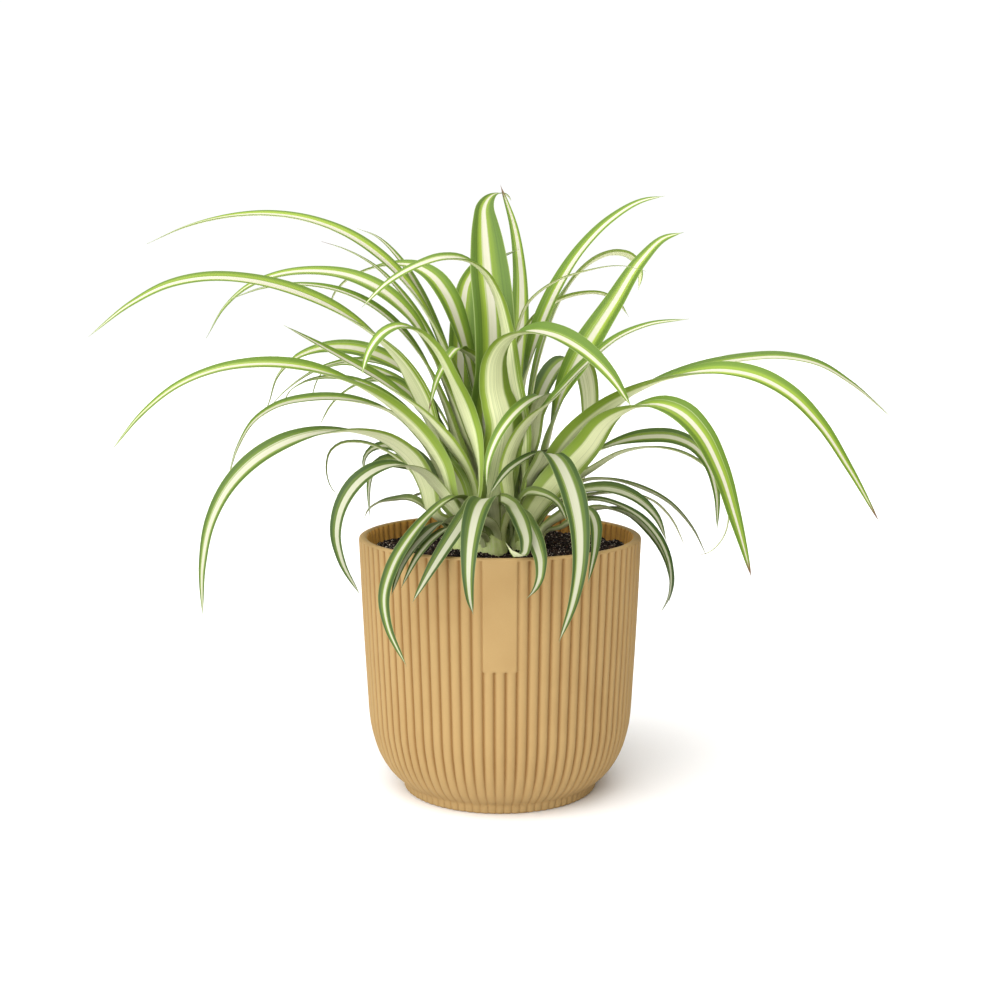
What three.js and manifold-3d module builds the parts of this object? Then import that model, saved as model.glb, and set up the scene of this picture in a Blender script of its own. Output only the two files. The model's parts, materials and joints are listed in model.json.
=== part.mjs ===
// Potted spider plant: a ribbed round pot filled with potting soil, four crowns that stand in it,
// and long arching leaves, each seated in a slot of its crown. Millimetres, +Z up.
// The origin is the middle of the pot's flat underside. The viewer stands on the -Y side.
import * as THREE from 'three';
import Module from 'manifold-3d';

const wasm = await Module();
wasm.setup();
const { clamp, degToRad, euclideanModulo, lerp, radToDeg, smoothstep } = THREE.MathUtils;

// ---------------------------------------------------------------- driving dimensions

const RIM_RADIUS = 92;
const POT_HEIGHT = 168;
const FOOT_RADIUS = 62.6;
const FOOT_HEIGHT = 6.5;
const FOOT_GROOVE = 0.7;
const LIP_WIDTH = 6;
const LIP_HEIGHT = 3;
const WALL = 4.2;
const FLOOR = 5;
const RIB_COUNT = 80;
const RIB_DEPTH = 1.5;
const INNER_RIB_DEPTH = 1;
const GROOVE_SHARE = 0.3;
// the plain panel at the front, under the rim: how many ribs it takes, how far down it runs
const PANEL_RIBS = 3;
const PANEL_BOTTOM = 98;
const PANEL_RISE = 0.15;
const PANEL_DEPTH = 2.5;
// outer wall over the rib crests, from the foot's top edge to the lip: [height, radius]
const WALL_PROFILE = [
  [FOOT_HEIGHT, 64.6], [12, 71.8], [21, 78], [32, 82.8], [48, 86.2], [POT_HEIGHT - LIP_HEIGHT, 91.8],
];

const SOIL_LEVEL = 157;
const SOIL_BUMP = 1.1;
const SOIL_SIDES = 32;
const SOIL_RING_RADII = [62, 40, 18];
// gap left where a piece is cut to take another
const CLEARANCE = 0.3;

// crowns: middle on the soil and radius
const CROWNS = {
  front: { x: -5, y: -5, radius: 10.5 },
  left: { x: -21, y: 12, radius: 12.5 },
  right: { x: 18, y: 11, radius: 13 },
  back: { x: -2, y: 32, radius: 13 },
};
const CROWN_TOP = SOIL_LEVEL + 9;
const CROWN_DEPTH = 24;
const CROWN_SIDES = 14;
const LEAF_ROOT = CROWN_TOP - 9;
// rings of slots in a crown: share of its radius, and how many leaves stand on it
const SLOT_PHASE = 3;
const SLOT_RINGS = [[0.8, 8], [0.53, 6], [0.26, 3], [0, 1]];

const BLADE_THICKNESS = 0.8;
const ROOT_HALF_WIDTH = 2.3;
const TIP_HALF_WIDTH = 0.6;
// a blade has its full width this far along it, or at this share of a short one, up to where it tapers
const FULL_WIDTH_AT = 115;
const FULL_WIDTH_SHARE = 0.45;
const TAPER_FROM = 0.58;
// how far the edges of a blade stand up from its middle, as a share of its half width
const FOLD = 0.2;
// a blade has a station every so many millimetres and every so many degrees of its curve
const STATION_STEP = 40;
const STATION_TURN = 38;
const LEAF_GAP = 0.9;
// how much of a blade its slot in the crown is cut for
const CUTTER_LENGTH = 60;
// least distance from the collar at the crown's top to the next station
const COLLAR_ROOM = 8;
// the turn by which a rising blade shows its underside to the viewer, greatest for one that heads sideways
const RISE_TURN = 40;
// a blade leaves its slot's direction over these distances along it
const SEATED_LENGTH = 12;
const TURN_LENGTH = 90;

// Leaves by hand from the photograph: name, crown, heading in degrees from +X, greatest width and way.
// way lists [reach, height] from the crown's middle: the handles of one smooth curve and last the tip.
// twist turns the outer half about its own line, drift carries the tip sideways to its left, and stand
// is the side of the crown, in degrees, on which the leaf looks for its slot; without it, its heading.
const LEAVES = [
  // left side, from the highest down
  leaf('left_01', 'back', 168, 16, [[35, 380], [120, 380], [185, 388], [247, 357]], { twist: -18 }),
  leaf('left_02', 'back', 140, 10, [[48, 345], [106, 366], [129, 369]]),
  leaf('left_03', 'left', 160, 10, [[18, 360], [95, 352], [104, 358]]),
  leaf('left_04', 'left', 193, 18, [[15, 345], [180, 340], [180, 345], [238, 298]], { twist: -28 }),
  leaf('left_05', 'left', 172, 18, [[13, 400], [105, 311], [141, 363], [176, 294]],
    { twist: -25, stand: 155 }),
  leaf('left_06', 'left', 180, 13, [[10, 373], [139, 329], [154, 320]], { twist: -15 }),
  leaf('left_07', 'back', 148, 19, [[42, 366], [20, 348], [138, 352], [139, 312]], { twist: -15 }),
  leaf('left_08', 'right', 212, 20, [[16, 365], [24, 360], [92, 347], [120, 316]],
    { twist: -15, stand: 195 }),
  leaf('left_09', 'left', 222, 19, [[30, 318], [53, 320], [82, 300], [88, 274]], { twist: -15 }),
  leaf('left_10', 'left', 212, 17, [[14, 250], [38, 253], [126, 302]], { twist: -30, stand: 235 }),
  leaf('left_11', 'front', 191, 19, [[40, 316], [157, 272], [183, 302], [239, 228]], { twist: -18 }),
  leaf('left_12', 'left', 158, 16, [[14, 348], [182, 286], [136, 257], [155, 237]], { twist: -32 }),
  leaf('left_13', 'back', 163, 8, [[38, 306], [132, 312], [183, 221], [168, 240]], { twist: -20 }),
  leaf('left_14', 'left', 150, 9, [[14, 315], [172, 269], [145, 250], [152, 243]], { twist: -20 }),
  leaf('left_15', 'back', 152, 10, [[45, 314], [130, 251], [135, 299], [151, 244]], { twist: -20 }),
  leaf('left_16', 'left', 143, 13, [[22, 318], [113, 257], [123, 247], [133, 229]], { twist: -20 }),
  leaf('left_17', 'left', 181, 13, [[17, 305], [113, 228], [138, 286], [159, 196]], { twist: -20 }),
  leaf('left_18', 'left', 206, 17, [[6, 281], [174, 251], [180, 201], [180, 128]], { twist: -25 }),
  leaf('left_19', 'left', 188, 9, [[2, 263], [129, 234], [72, 224], [104, 211], [83, 191]]),
  leaf('left_20', 'left', 176, 11, [[2, 223], [77, 243], [73, 211], [67, 203]], { twist: -40 }),
  leaf('left_21', 'left', 166, 12, [[2, 232], [75, 204], [63, 231], [67, 174]], { twist: -40 }),
  leaf('left_22', 'front', 213, 13, [[38, 256], [115, 235], [130, 176], [110, 166], [97, 139]],
    { twist: -25 }),
  // front, over the rim
  leaf('front_01', 'front', 232, 11, [[4, 229], [71, 192], [155, 151], [140, 142], [150, 118]],
    { drift: 59 }),
  leaf('front_02', 'front', 226, 11, [[4, 196], [36, 196], [97, 180], [126, 156]],
    { drift: 44, stand: 262 }),
  leaf('front_03', 'front', 238, 13, [[2, 184], [10, 200], [46, 190], [127, 146]], { drift: 26 }),
  leaf('front_04', 'front', 262, 15, [[10, 204], [59, 226], [122, 201], [146, 167], [125, 143]],
    { drift: 7 }),
  leaf('front_05', 'front', 295, 11, [[8, 182], [6, 208], [55, 205], [118, 146], [101, 180]],
    { drift: -38 }),
  leaf('front_06', 'front', 292, 12, [[3, 178], [19, 196], [72, 194], [138, 172], [115, 152]],
    { drift: -26 }),
  leaf('front_07', 'right', 225, 12, [[-14, 225], [2, 215], [20, 214], [58, 188]], { drift: 21 }),
  leaf('front_08', 'right', 292, 15, [[2, 246], [50, 242], [128, 203], [158, 177], [150, 130]],
    { drift: -44, twist: 10 }),
  leaf('front_09', 'right', 312, 9, [[20, 194], [60, 200], [83, 194], [100, 186], [114, 158]],
    { drift: -59 }),
  // right side
  leaf('right_01', 'right', 321, 23, [[14, 250], [135, 312], [140, 230], [169, 157]],
    { twist: 15, stand: 312 }),
  leaf('right_02', 'right', 335, 21, [[4, 262], [165, 316], [175, 277], [230, 189]],
    { twist: 20, stand: 346 }),
  leaf('right_03', 'right', 350, 15, [[5, 310], [190, 262], [155, 315], [232, 246]], { twist: 20 }),
  leaf('right_04', 'front', 344, 16, [[2, 254], [93, 280], [62, 303], [127, 308]], { twist: 25 }),
  leaf('right_05', 'right', 8, 21, [[3, 312], [62, 268], [56, 360], [102, 363]], { twist: 45 }),
  leaf('right_06', 'back', 352, 18, [[12, 291], [38, 363], [91, 387], [109, 386]], { twist: 40 }),
  leaf('right_07', 'back', 38, 17, [[30, 342], [64, 355], [143, 369], [127, 325]], { twist: -30 }),
  leaf('right_08', 'right', 350, 7, [[-22, 350], [-20, 308], [45, 354], [75, 338]], { stand: 190 }),
  leaf('right_09', 'back', 22, 9, [[2, 360], [49, 294], [74, 345], [97, 307]], { twist: -30 }),
  leaf('right_10', 'front', 316, 27, [[-8, 275], [-18, 322], [74, 317], [116, 258]],
    { twist: 15, stand: 300 }),
  leaf('right_11', 'back', 222, 14, [[5, 248], [5, 333], [51, 278], [59, 244]]),
  leaf('right_12', 'right', 240, 13, [[-8, 250], [-42, 274], [78, 262], [59, 196]], { stand: 255 }),
  leaf('right_13', 'right', 342, 11, [[13, 249], [118, 240], [94, 230], [129, 238], [126, 175]],
    { twist: 50 }),
  leaf('right_14', 'right', 352, 7, [[8, 212], [58, 258], [151, 246], [149, 157], [110, 154]]),
  leaf('right_15', 'right', 2, 8, [[21, 249], [74, 172], [75, 216], [108, 181], [120, 149]],
    { twist: 15 }),
  leaf('right_16', 'right', 338, 13, [[4, 178], [26, 211], [80, 209], [92, 164]], { twist: 25 }),
  leaf('right_17', 'right', 12, 8, [[4, 204], [79, 184], [86, 206], [110, 153]]),
  leaf('right_18', 'right', 330, 8, [[13, 191], [52, 202], [96, 201], [118, 150], [96, 122]],
    { twist: 10 }),
  leaf('right_19', 'right', 334, 11, [[30, 214], [67, 178], [68, 206], [112, 165], [100, 130]],
    { twist: 20 }),
  leaf('right_20', 'back', 55, 20, [[35, 309], [131, 305], [127, 250], [103, 175]]),
  // upright in the middle
  leaf('centre_01', 'front', 103, 27, [[28, 330], [60, 385], [90, 402], [130, 388]], { drift: -24 }),
  leaf('centre_02', 'back', 64, 14, [[40, 270], [62, 330], [64, 365], [60, 398]], { drift: 27 }),
  leaf('centre_03', 'left', 100, 19, [[36, 315], [100, 345], [108, 340], [60, 353]], { drift: -46 }),
];

// small inner leaves, grown fast to their crown
const INNER_LEAVES = [
  leaf('inner_01', 'left', 160, 9, [[2, 182], [68, 196], [74, 172]]),
  leaf('inner_02', 'left', 135, 14, [[2, 192], [40, 192], [54, 181]]),
  leaf('inner_03', 'front', 238, 7, [[12, 180], [34, 190], [78, 190], [117, 157]], { drift: 13 }),
  leaf('inner_04', 'right', 322, 9, [[0, 184], [5, 204], [50, 202], [72, 188]], { drift: -50 }),
  leaf('inner_05', 'back', 75, 7, [[2, 210], [30, 305], [12, 318]]),
  leaf('inner_06', 'back', 50, 8, [[4, 300], [90, 372], [76, 362]]),
  leaf('inner_07', 'back', 98, 12, [[6, 235], [85, 250], [112, 160]]),
  leaf('inner_08', 'back', 122, 11, [[4, 215], [70, 240], [104, 178]]),
  leaf('inner_09', 'back', 75, 10, [[4, 205], [60, 222], [92, 180]]),
];

const POT_COLOUR = 0xc9a36c;
const SOIL_COLOUR = 0x2a211c;
const LEAF_COLOUR = 0x86aa4e;
const CROWN_COLOUR = 0xbfcb92;

// ---------------------------------------------------------------- helpers

function leaf(name, crown, heading, width, way, options = {}) {
  const { twist = 0, drift = 0, stand = heading } = options;
  return {
    name,
    crown,
    way,
    drift,
    halfWidth: width / 2,
    heading: degToRad(heading),
    rise: -degToRad(RISE_TURN) * Math.cos(degToRad(heading)),
    twist: degToRad(twist),
    stand: degToRad(stand),
  };
}

const smooth = (from, to, value) => smoothstep(value, from, to);
const linear = (from, to, value) => clamp((value - from) / (to - from), 0, 1);

function geometryOf(points, faces) {
  const geometry = new THREE.BufferGeometry();
  const numbers = points.flatMap((p) => [p.x, p.y, p.z]);
  geometry.setAttribute('position', new THREE.Float32BufferAttribute(numbers, 3));
  geometry.setIndex(faces.flat());
  return geometry;
}

function solidOf(geometry) {
  return new wasm.Manifold(new wasm.Mesh({
    numProp: 3,
    vertProperties: new Float32Array(geometry.attributes.position.array),
    triVerts: new Uint32Array(geometry.index.array),
  }));
}

function geometryOfSolid(solid) {
  const mesh = solid.getMesh();
  const geometry = new THREE.BufferGeometry();
  geometry.setAttribute('position', new THREE.Float32BufferAttribute(mesh.vertProperties, 3));
  geometry.setIndex(Array.from(mesh.triVerts));
  return geometry;
}

function named(name, geometry, colour, roughness) {
  const material = new THREE.MeshStandardMaterial({ color: colour, roughness, metalness: 0 });
  const mesh = new THREE.Mesh(geometry, material);
  mesh.name = name;
  return mesh;
}

/** Closed body of revolution built ring by ring: neighbouring rings may differ in their counts. */
class RingStack {
  constructor() {
    this.points = [];
    this.rings = [];
    this.faces = [];
  }

  add(angles, radiusAt, heightAt) {
    const ring = angles.map((angle) => {
      const radius = radiusAt(angle);
      const [x, y] = [radius * Math.cos(angle), radius * Math.sin(angle)];
      this.points.push(new THREE.Vector3(x, y, heightAt(angle)));
      return { angle, index: this.points.length - 1 };
    });
    this.rings.push(ring);
  }

  /** Bands of triangles between two rings, taken in order of angle; the first ring is on the right hand. */
  stitch(lower, upper) {
    let a = 0;
    let b = 0;
    while (a < lower.length || b < upper.length) {
      const nextA = a + 1 < lower.length ? lower[a + 1].angle : lower[0].angle + 2 * Math.PI;
      const nextB = b + 1 < upper.length ? upper[b + 1].angle : upper[0].angle + 2 * Math.PI;
      const moveA = b >= upper.length || (a < lower.length && nextA <= nextB);
      const here = lower[a % lower.length].index;
      const there = upper[b % upper.length].index;
      if (moveA) {
        this.faces.push([here, lower[(a + 1) % lower.length].index, there]);
        a += 1;
      } else {
        this.faces.push([here, upper[(b + 1) % upper.length].index, there]);
        b += 1;
      }
    }
  }

  /** Joins the rings one after another and closes the first and the last with a flat or domed cap. */
  finish(bottomHeight, topHeight) {
    for (let k = 0; k + 1 < this.rings.length; k += 1) this.stitch(this.rings[k], this.rings[k + 1]);
    const bottom = this.rings[0];
    const top = this.rings[this.rings.length - 1];
    this.points.push(new THREE.Vector3(0, 0, bottomHeight), new THREE.Vector3(0, 0, topHeight));
    const middle = this.points.length - 1;
    bottom.forEach((p, k) => this.faces.push([bottom[(k + 1) % bottom.length].index, p.index, middle - 1]));
    top.forEach((p, k) => this.faces.push([p.index, top[(k + 1) % top.length].index, middle]));
    return geometryOf(this.points, this.faces);
  }
}

/** Angles of a full turn in equal steps. */
function around(count, start = 0) {
  return Array.from({ length: count }, (_, k) => start + (2 * Math.PI * k) / count);
}

/** Radius of a profile of [height, radius] points at a height. */
function radiusOn(profile, height) {
  const upper = profile.findIndex(([h]) => h >= height);
  if (upper <= 0) return profile[upper === 0 ? 0 : profile.length - 1][1];
  const [h0, r0] = profile[upper - 1];
  const [h1, r1] = profile[upper];
  return lerp(r0, r1, (height - h0) / (h1 - h0));
}

// ---------------------------------------------------------------- pot and soil

const RIB_PITCH = (2 * Math.PI) / RIB_COUNT;
const FRONT = -Math.PI / 2;
const INNER_LIP = RIM_RADIUS - LIP_WIDTH;
const SOIL_EDGE = INNER_LIP - 1.9;
// heights at which the plain inside wall follows the outer profile
const INSIDE_HEIGHTS = [48, 21];
// how thick the wall is from its crests to the smooth inside below the soil
const FULL_WALL = WALL + RIB_DEPTH + 1.1;

/** Each rib is a groove line and two crest lines: the angles of a whole ring, from the front round. */
function ribAngles() {
  const offsets = [0, GROOVE_SHARE, 1 - GROOVE_SHARE];
  const first = FRONT - RIB_PITCH / 2;
  return around(RIB_COUNT, first).flatMap((angle) => offsets.map((share) => angle + share * RIB_PITCH));
}

const isGroove = (angle) => {
  const turn = (angle - FRONT) / RIB_PITCH + 0.5;
  return Math.abs(turn - Math.round(turn)) < 0.01;
};

function potGeometry() {
  const stack = new RingStack();
  const ribbed = ribAngles();
  const plain = around(RIB_COUNT, FRONT - RIB_PITCH / 2);
  const coarse = around(RIB_COUNT / 2, FRONT - RIB_PITCH / 2);
  const ribbedRing = (radius, depth, height) => stack.add(
    ribbed,
    (angle) => radius - (isGroove(angle) ? depth : 0),
    () => height,
  );
  const plainRing = (radius, height, angles = plain) => stack.add(angles, () => radius, () => height);
  plainRing(FOOT_RADIUS - 1.5, 0);
  ribbedRing(FOOT_RADIUS, FOOT_GROOVE, 0.8);
  for (const [height, radius] of WALL_PROFILE) ribbedRing(radius, RIB_DEPTH, height);
  plainRing(RIM_RADIUS, POT_HEIGHT - LIP_HEIGHT + 1);
  plainRing(RIM_RADIUS - 0.7, POT_HEIGHT - 1);
  plainRing(RIM_RADIUS - 2.4, POT_HEIGHT);
  plainRing(INNER_LIP + 1.6, POT_HEIGHT);
  plainRing(INNER_LIP, POT_HEIGHT - 1.8);
  ribbedRing(INNER_LIP - 0.4, -INNER_RIB_DEPTH, POT_HEIGHT - LIP_HEIGHT);
  ribbedRing(INNER_LIP - 1.2, -INNER_RIB_DEPTH, SOIL_LEVEL - 3);
  plainRing(INNER_LIP - 1.6, SOIL_LEVEL - 4);
  for (const height of INSIDE_HEIGHTS) {
    plainRing(radiusOn(WALL_PROFILE, height) - FULL_WALL, height, coarse);
  }
  plainRing(FOOT_RADIUS - WALL, FLOOR + 2, coarse);
  return geometryOfSolid(solidOf(stack.finish(0, FLOOR)).add(panelSolid()));
}

/** The plain panel: a thin curved plate that fills the grooves behind it and follows the crests upward. */
function panelSolid() {
  const top = POT_HEIGHT - LIP_HEIGHT;
  const low = radiusOn(WALL_PROFILE, PANEL_BOTTOM) + PANEL_RISE;
  const high = radiusOn(WALL_PROFILE, top) + PANEL_RISE;
  const halfTurn = (PANEL_RIBS / 2 - GROOVE_SHARE) * RIB_PITCH;
  const arc = (radius, turns) => turns.map((turn) => [
    radius * Math.cos(FRONT + turn * halfTurn),
    radius * Math.sin(FRONT + turn * halfTurn),
  ]);
  const outline = [...arc(low, [-1, -0.5, 0, 0.5, 1]), ...arc(low - PANEL_DEPTH, [1, -1])];
  return wasm.Manifold.extrude([outline], top - PANEL_BOTTOM, 0, 0, [high / low, high / low])
    .translate([0, 0, PANEL_BOTTOM]);
}

/** Soil surface: low lumps from a few crossing waves, so that its height has a formula. */
function soilHeight(x, y) {
  const long = Math.sin(x * 0.11 + 1.3) * Math.cos(y * 0.13 - 0.4);
  const short = Math.sin(x * 0.23 - y * 0.19 + 2.1);
  return SOIL_LEVEL + SOIL_BUMP * (long + 0.6 * short);
}

function soilGeometry() {
  const stack = new RingStack();
  const sides = around(SOIL_SIDES);
  const flatRing = (radius, height) => stack.add(sides, () => radius, () => height);
  flatRing(FOOT_RADIUS - 6, FLOOR + 2 + 2 * CLEARANCE);
  for (const height of INSIDE_HEIGHTS.toReversed()) {
    flatRing(radiusOn(WALL_PROFILE, height) - FULL_WALL - 1.2, height + 1);
  }
  flatRing(SOIL_EDGE - 0.6, SOIL_LEVEL - 6);
  for (const radius of [SOIL_EDGE, ...SOIL_RING_RADII]) {
    const heightAt = (angle) => soilHeight(radius * Math.cos(angle), radius * Math.sin(angle));
    stack.add(sides, () => radius, heightAt);
  }
  const body = stack.finish(FLOOR + 2 + 2 * CLEARANCE, soilHeight(0, 0));
  let solid = solidOf(body);
  for (const crown of Object.values(CROWNS)) solid = solid.subtract(crownSolid(crown, CLEARANCE));
  return geometryOfSolid(solid);
}

/** A crown: a short stump, round below the soil and domed above; grow widens it for its hole. */
function crownSolid(crown, grow = 0) {
  const stack = new RingStack();
  const sides = around(CROWN_SIDES);
  const ring = (share, height) => stack.add(sides, () => crown.radius * share + grow, () => height);
  const foot = SOIL_LEVEL - CROWN_DEPTH;
  ring(0.7, foot - grow);
  ring(0.95, foot + CROWN_DEPTH * 0.6);
  ring(1, SOIL_LEVEL - 1);
  ring(0.97, SOIL_LEVEL + 3.5 + grow * 4);
  ring(0.86, CROWN_TOP - 1.5 + grow * 4);
  return solidOf(stack.finish(foot - grow, CROWN_TOP + grow * 4)).translate([crown.x, crown.y, 0]);
}

// ---------------------------------------------------------------- leaves: lines, sections and seats

const UP = new THREE.Vector3(0, 0, 1);

/** Point of the curve with the given control points, by repeated halving between them. */
function curvePoint(controls, t) {
  let points = controls.map((p) => p.clone());
  while (points.length > 1) points = points.slice(1).map((p, k) => points[k].clone().lerp(p, t));
  return points[0];
}

/** Half width along the blade: narrow at the root, full past the middle, drawn out to a fine tip. */
function halfWidthAt(blade, t, along) {
  const grown = Math.min(FULL_WIDTH_AT, blade.length * FULL_WIDTH_SHARE);
  const body = lerp(ROOT_HALF_WIDTH, blade.halfWidth, smooth(8, grown, along));
  const taper = (1 - linear(TAPER_FROM, 1, t)) ** 0.8;
  return Math.max(TIP_HALF_WIDTH, Math.min(body, blade.halfWidth * taper + TIP_HALF_WIDTH));
}

/** Lays the blade's middle line from its seat in the crown and cuts it into stations. */
function layLine(blade) {
  const crown = CROWNS[blade.crown];
  const out = new THREE.Vector3(Math.cos(blade.heading), Math.sin(blade.heading), 0);
  const left = new THREE.Vector3(-out.y, out.x, 0);
  const foot = new THREE.Vector3(crown.x + blade.seat.x, crown.y + blade.seat.y, LEAF_ROOT);
  const controls = [foot, ...blade.way.map(([reach, height]) => new THREE.Vector3(crown.x, crown.y, height)
    .addScaledVector(out, reach))];
  const steps = 240;
  const fine = Array.from({ length: steps + 1 }, (_, k) => {
    const t = k / steps;
    return curvePoint(controls, t).addScaledVector(left, blade.drift * t * t);
  });
  const measure = [0];
  const lengths = [0];
  for (let k = 1; k <= steps; k += 1) {
    const step = fine[k].distanceTo(fine[k - 1]);
    const turn = k < steps
      ? fine[k].clone().sub(fine[k - 1]).angleTo(fine[k + 1].clone().sub(fine[k])) : 0;
    measure.push(measure[k - 1] + step / STATION_STEP + radToDeg(turn) / STATION_TURN);
    lengths.push(lengths[k - 1] + step);
  }
  blade.length = lengths[steps];
  const count = Math.max(5, Math.round(measure[steps]));
  const root = { line: foot.clone(), along: 0, t: 0 };
  blade.stations = [root];
  for (let k = 1; k <= count; k += 1) {
    const wanted = (measure[steps] * k) / count;
    const at = measure.findIndex((m) => m >= wanted - 1e-9);
    blade.stations.push({ line: fine[at].clone(), along: lengths[at], t: lengths[at] / blade.length });
  }
  // one more station at the crown's top keeps the seated end straight
  const collar = { line: pointAtHeight(fine, CROWN_TOP + 3).clone() };
  collar.along = collar.line.distanceTo(foot);
  collar.t = collar.along / blade.length;
  const rest = blade.stations.filter((station) => station.along > collar.along + COLLAR_ROOM);
  blade.stations = [root, collar, ...rest];
}

/** The first of a curve's points that stands at a height or above it. */
function pointAtHeight(points, height) {
  return points.find((p) => p.z >= height) ?? points[points.length - 1];
}

/** The way the blade faces at each station: across its width, and out of its upper side. */
function faceStations(blade) {
  const across = new THREE.Vector3(-Math.sin(blade.heading), Math.cos(blade.heading), 0);
  const { stations } = blade;
  stations.forEach((station, k) => {
    const before = stations[Math.max(0, k - 1)].line;
    const after = stations[Math.min(stations.length - 1, k + 1)].line;
    station.tangent = after.clone().sub(before).normalize();
    const wide = across.clone().addScaledVector(station.tangent, -across.dot(station.tangent)).normalize();
    const free = smooth(SEATED_LENGTH, TURN_LENGTH, station.along);
    const outer = smooth(0.2, 0.6, station.t);
    const turn = lerp(blade.seat.turn, lerp(blade.rise, blade.twist, outer), free);
    station.across = wide.applyAxisAngle(station.tangent, turn);
    station.normal = station.tangent.clone().cross(station.across).normalize();
    station.half = halfWidthAt(blade, station.t, station.along);
    station.fold = FOLD * station.half * (1 - smooth(0.75, 1, station.t));
  });
}

/** Every leaf takes the free slot nearest to where it leans: low leaves outside, tall ones within. */
function seatLeaves(blades) {
  for (const [name, crown] of Object.entries(CROWNS)) {
    const slotAt = (angle, reach) => new THREE.Vector2(reach * Math.cos(angle), reach * Math.sin(angle));
    const slots = SLOT_RINGS.flatMap(([share, count]) => around(count, share * SLOT_PHASE)
      .map((angle) => slotAt(angle, share * crown.radius)));
    const lean = (blade) => Math.atan2(blade.way[1][0], blade.way[1][1] - LEAF_ROOT);
    const mine = blades.filter((blade) => blade.crown === name).sort((a, b) => lean(b) - lean(a));
    mine.forEach((blade, rank) => {
      const want = slotAt(blade.stand, crown.radius * lerp(1, -0.2, rank / mine.length));
      slots.sort((a, b) => a.distanceTo(want) - b.distanceTo(want));
      const slot = slots.shift();
      const round = slot.length() > 0.1 ? Math.atan2(slot.y, slot.x) : blade.heading;
      const quarter = Math.PI / 2;
      const turn = euclideanModulo(round - blade.heading + quarter, Math.PI) - quarter;
      blade.seat = { x: slot.x, y: slot.y, turn };
    });
  }
}

// ---------------------------------------------------------------- leaves: parting them

const SAMPLES_PER_SPAN = 4;
const ROUNDS = 420;
const SEAT_FREEDOM = 0.35;
const SEAT_MARGIN = 2.6;
const PUSH = 1.5;
const EVENNESS = 0.06;
const AGREED_LEAN = 0.3;
const AGREED_SPAN = 50;
const AGREEMENT_KEPT = 0.95;

/** Small boxes along a blade that stand for it while the leaves are parted. */
function sampleBlade(blade, owner) {
  const samples = [];
  for (let k = 0; k + 1 < blade.stations.length; k += 1) {
    const from = blade.stations[k];
    const to = blade.stations[k + 1];
    const span = from.line.distanceTo(to.line);
    for (let j = 0; j < SAMPLES_PER_SPAN; j += 1) {
      const share = (j + 0.5) / SAMPLES_PER_SPAN;
      const half = Math.max(from.half, to.half);
      const fold = Math.max(from.fold, to.fold);
      const thick = (BLADE_THICKNESS + fold) / 2;
      const normal = from.normal.clone().lerp(to.normal, share).normalize();
      const middle = from.line.clone().lerp(to.line, share).addScaledVector(normal, fold / 2);
      samples.push({
        owner, k, share, middle, normal,
        across: from.across.clone().lerp(to.across, share).normalize(),
        tangent: to.line.clone().sub(from.line).normalize(),
        half, thick, long: span / SAMPLES_PER_SPAN / 2,
        reach: Math.hypot(half, thick, span / SAMPLES_PER_SPAN / 2),
        along: lerp(from.along, to.along, share),
      });
    }
  }
  return samples;
}

const extent = (s, axis) => s.half * Math.abs(s.across.dot(axis)) + s.thick * Math.abs(s.normal.dot(axis))
  + s.long * Math.abs(s.tangent.dot(axis));

/**
 * The way out of a crossing: the axis on which two samples overlap least, or null where they are clear.
 * Samples of the same two leaves follow the direction agreed before, so that one leaf passes the other.
 */
function wayOut(a, b, agreed) {
  const apart = a.middle.clone().sub(b.middle);
  let least = Infinity;
  let best = null;
  const axes = [a.normal, b.normal, apart.clone().normalize(), a.across, b.across, a.tangent, b.tangent];
  for (const axis of axes) {
    const distance = apart.dot(axis);
    const room = extent(a, axis) + extent(b, axis) + LEAF_GAP;
    if (room <= Math.abs(distance)) return null;
    const lean = agreed ? axis.dot(agreed) : 0;
    const sign = Math.sign(Math.abs(lean) > AGREED_LEAN ? lean : distance) || 1;
    const overlap = room - sign * distance;
    if (overlap < least) {
      least = overlap;
      best = axis.clone().multiplyScalar(sign);
    }
  }
  return { axis: best, depth: least };
}

/** How far a leaf may give way: its seat a little, the blade fully once it is clear of the crown. */
const freedom = (along) => lerp(SEAT_FREEDOM, 1, smooth(12, 40, along));

/** Keeps a sample off the soil, the crowns, the rim and the outside of the pot. */
function pushOffPot(sample, blades) {
  const { x, y, z } = sample.middle;
  const radius = Math.hypot(x, y);
  const radial = new THREE.Vector3(x / radius, y / radius, 0);
  const side = extent(sample, radial);
  const low = z - extent(sample, UP);
  const outer = RIM_RADIUS + LEAF_GAP;
  const inner = INNER_LIP - 2 - LEAF_GAP;
  if (low < POT_HEIGHT + LEAF_GAP && radius + side > inner && radius - side < outer) {
    const rise = POT_HEIGHT + LEAF_GAP - low;
    const outward = outer - (radius - side);
    const inward = radius + side - inner;
    if (rise <= outward && rise <= inward) return UP.clone().multiplyScalar(rise);
    if (outward < inward || z < SOIL_LEVEL) return radial.multiplyScalar(outward);
    return radial.multiplyScalar(-inward);
  }
  if (radius < inner) {
    const owner = blades[sample.owner];
    const onCrown = Object.entries(CROWNS).some(([name, crown]) => name !== owner.crown
      && Math.hypot(x - crown.x, y - crown.y) < crown.radius + sample.half);
    const ground = (onCrown ? CROWN_TOP : SOIL_LEVEL + 1.7 * SOIL_BUMP) + LEAF_GAP;
    if (low < ground && sample.along > 20) return UP.clone().multiplyScalar(ground - low);
  }
  return null;
}

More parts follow.
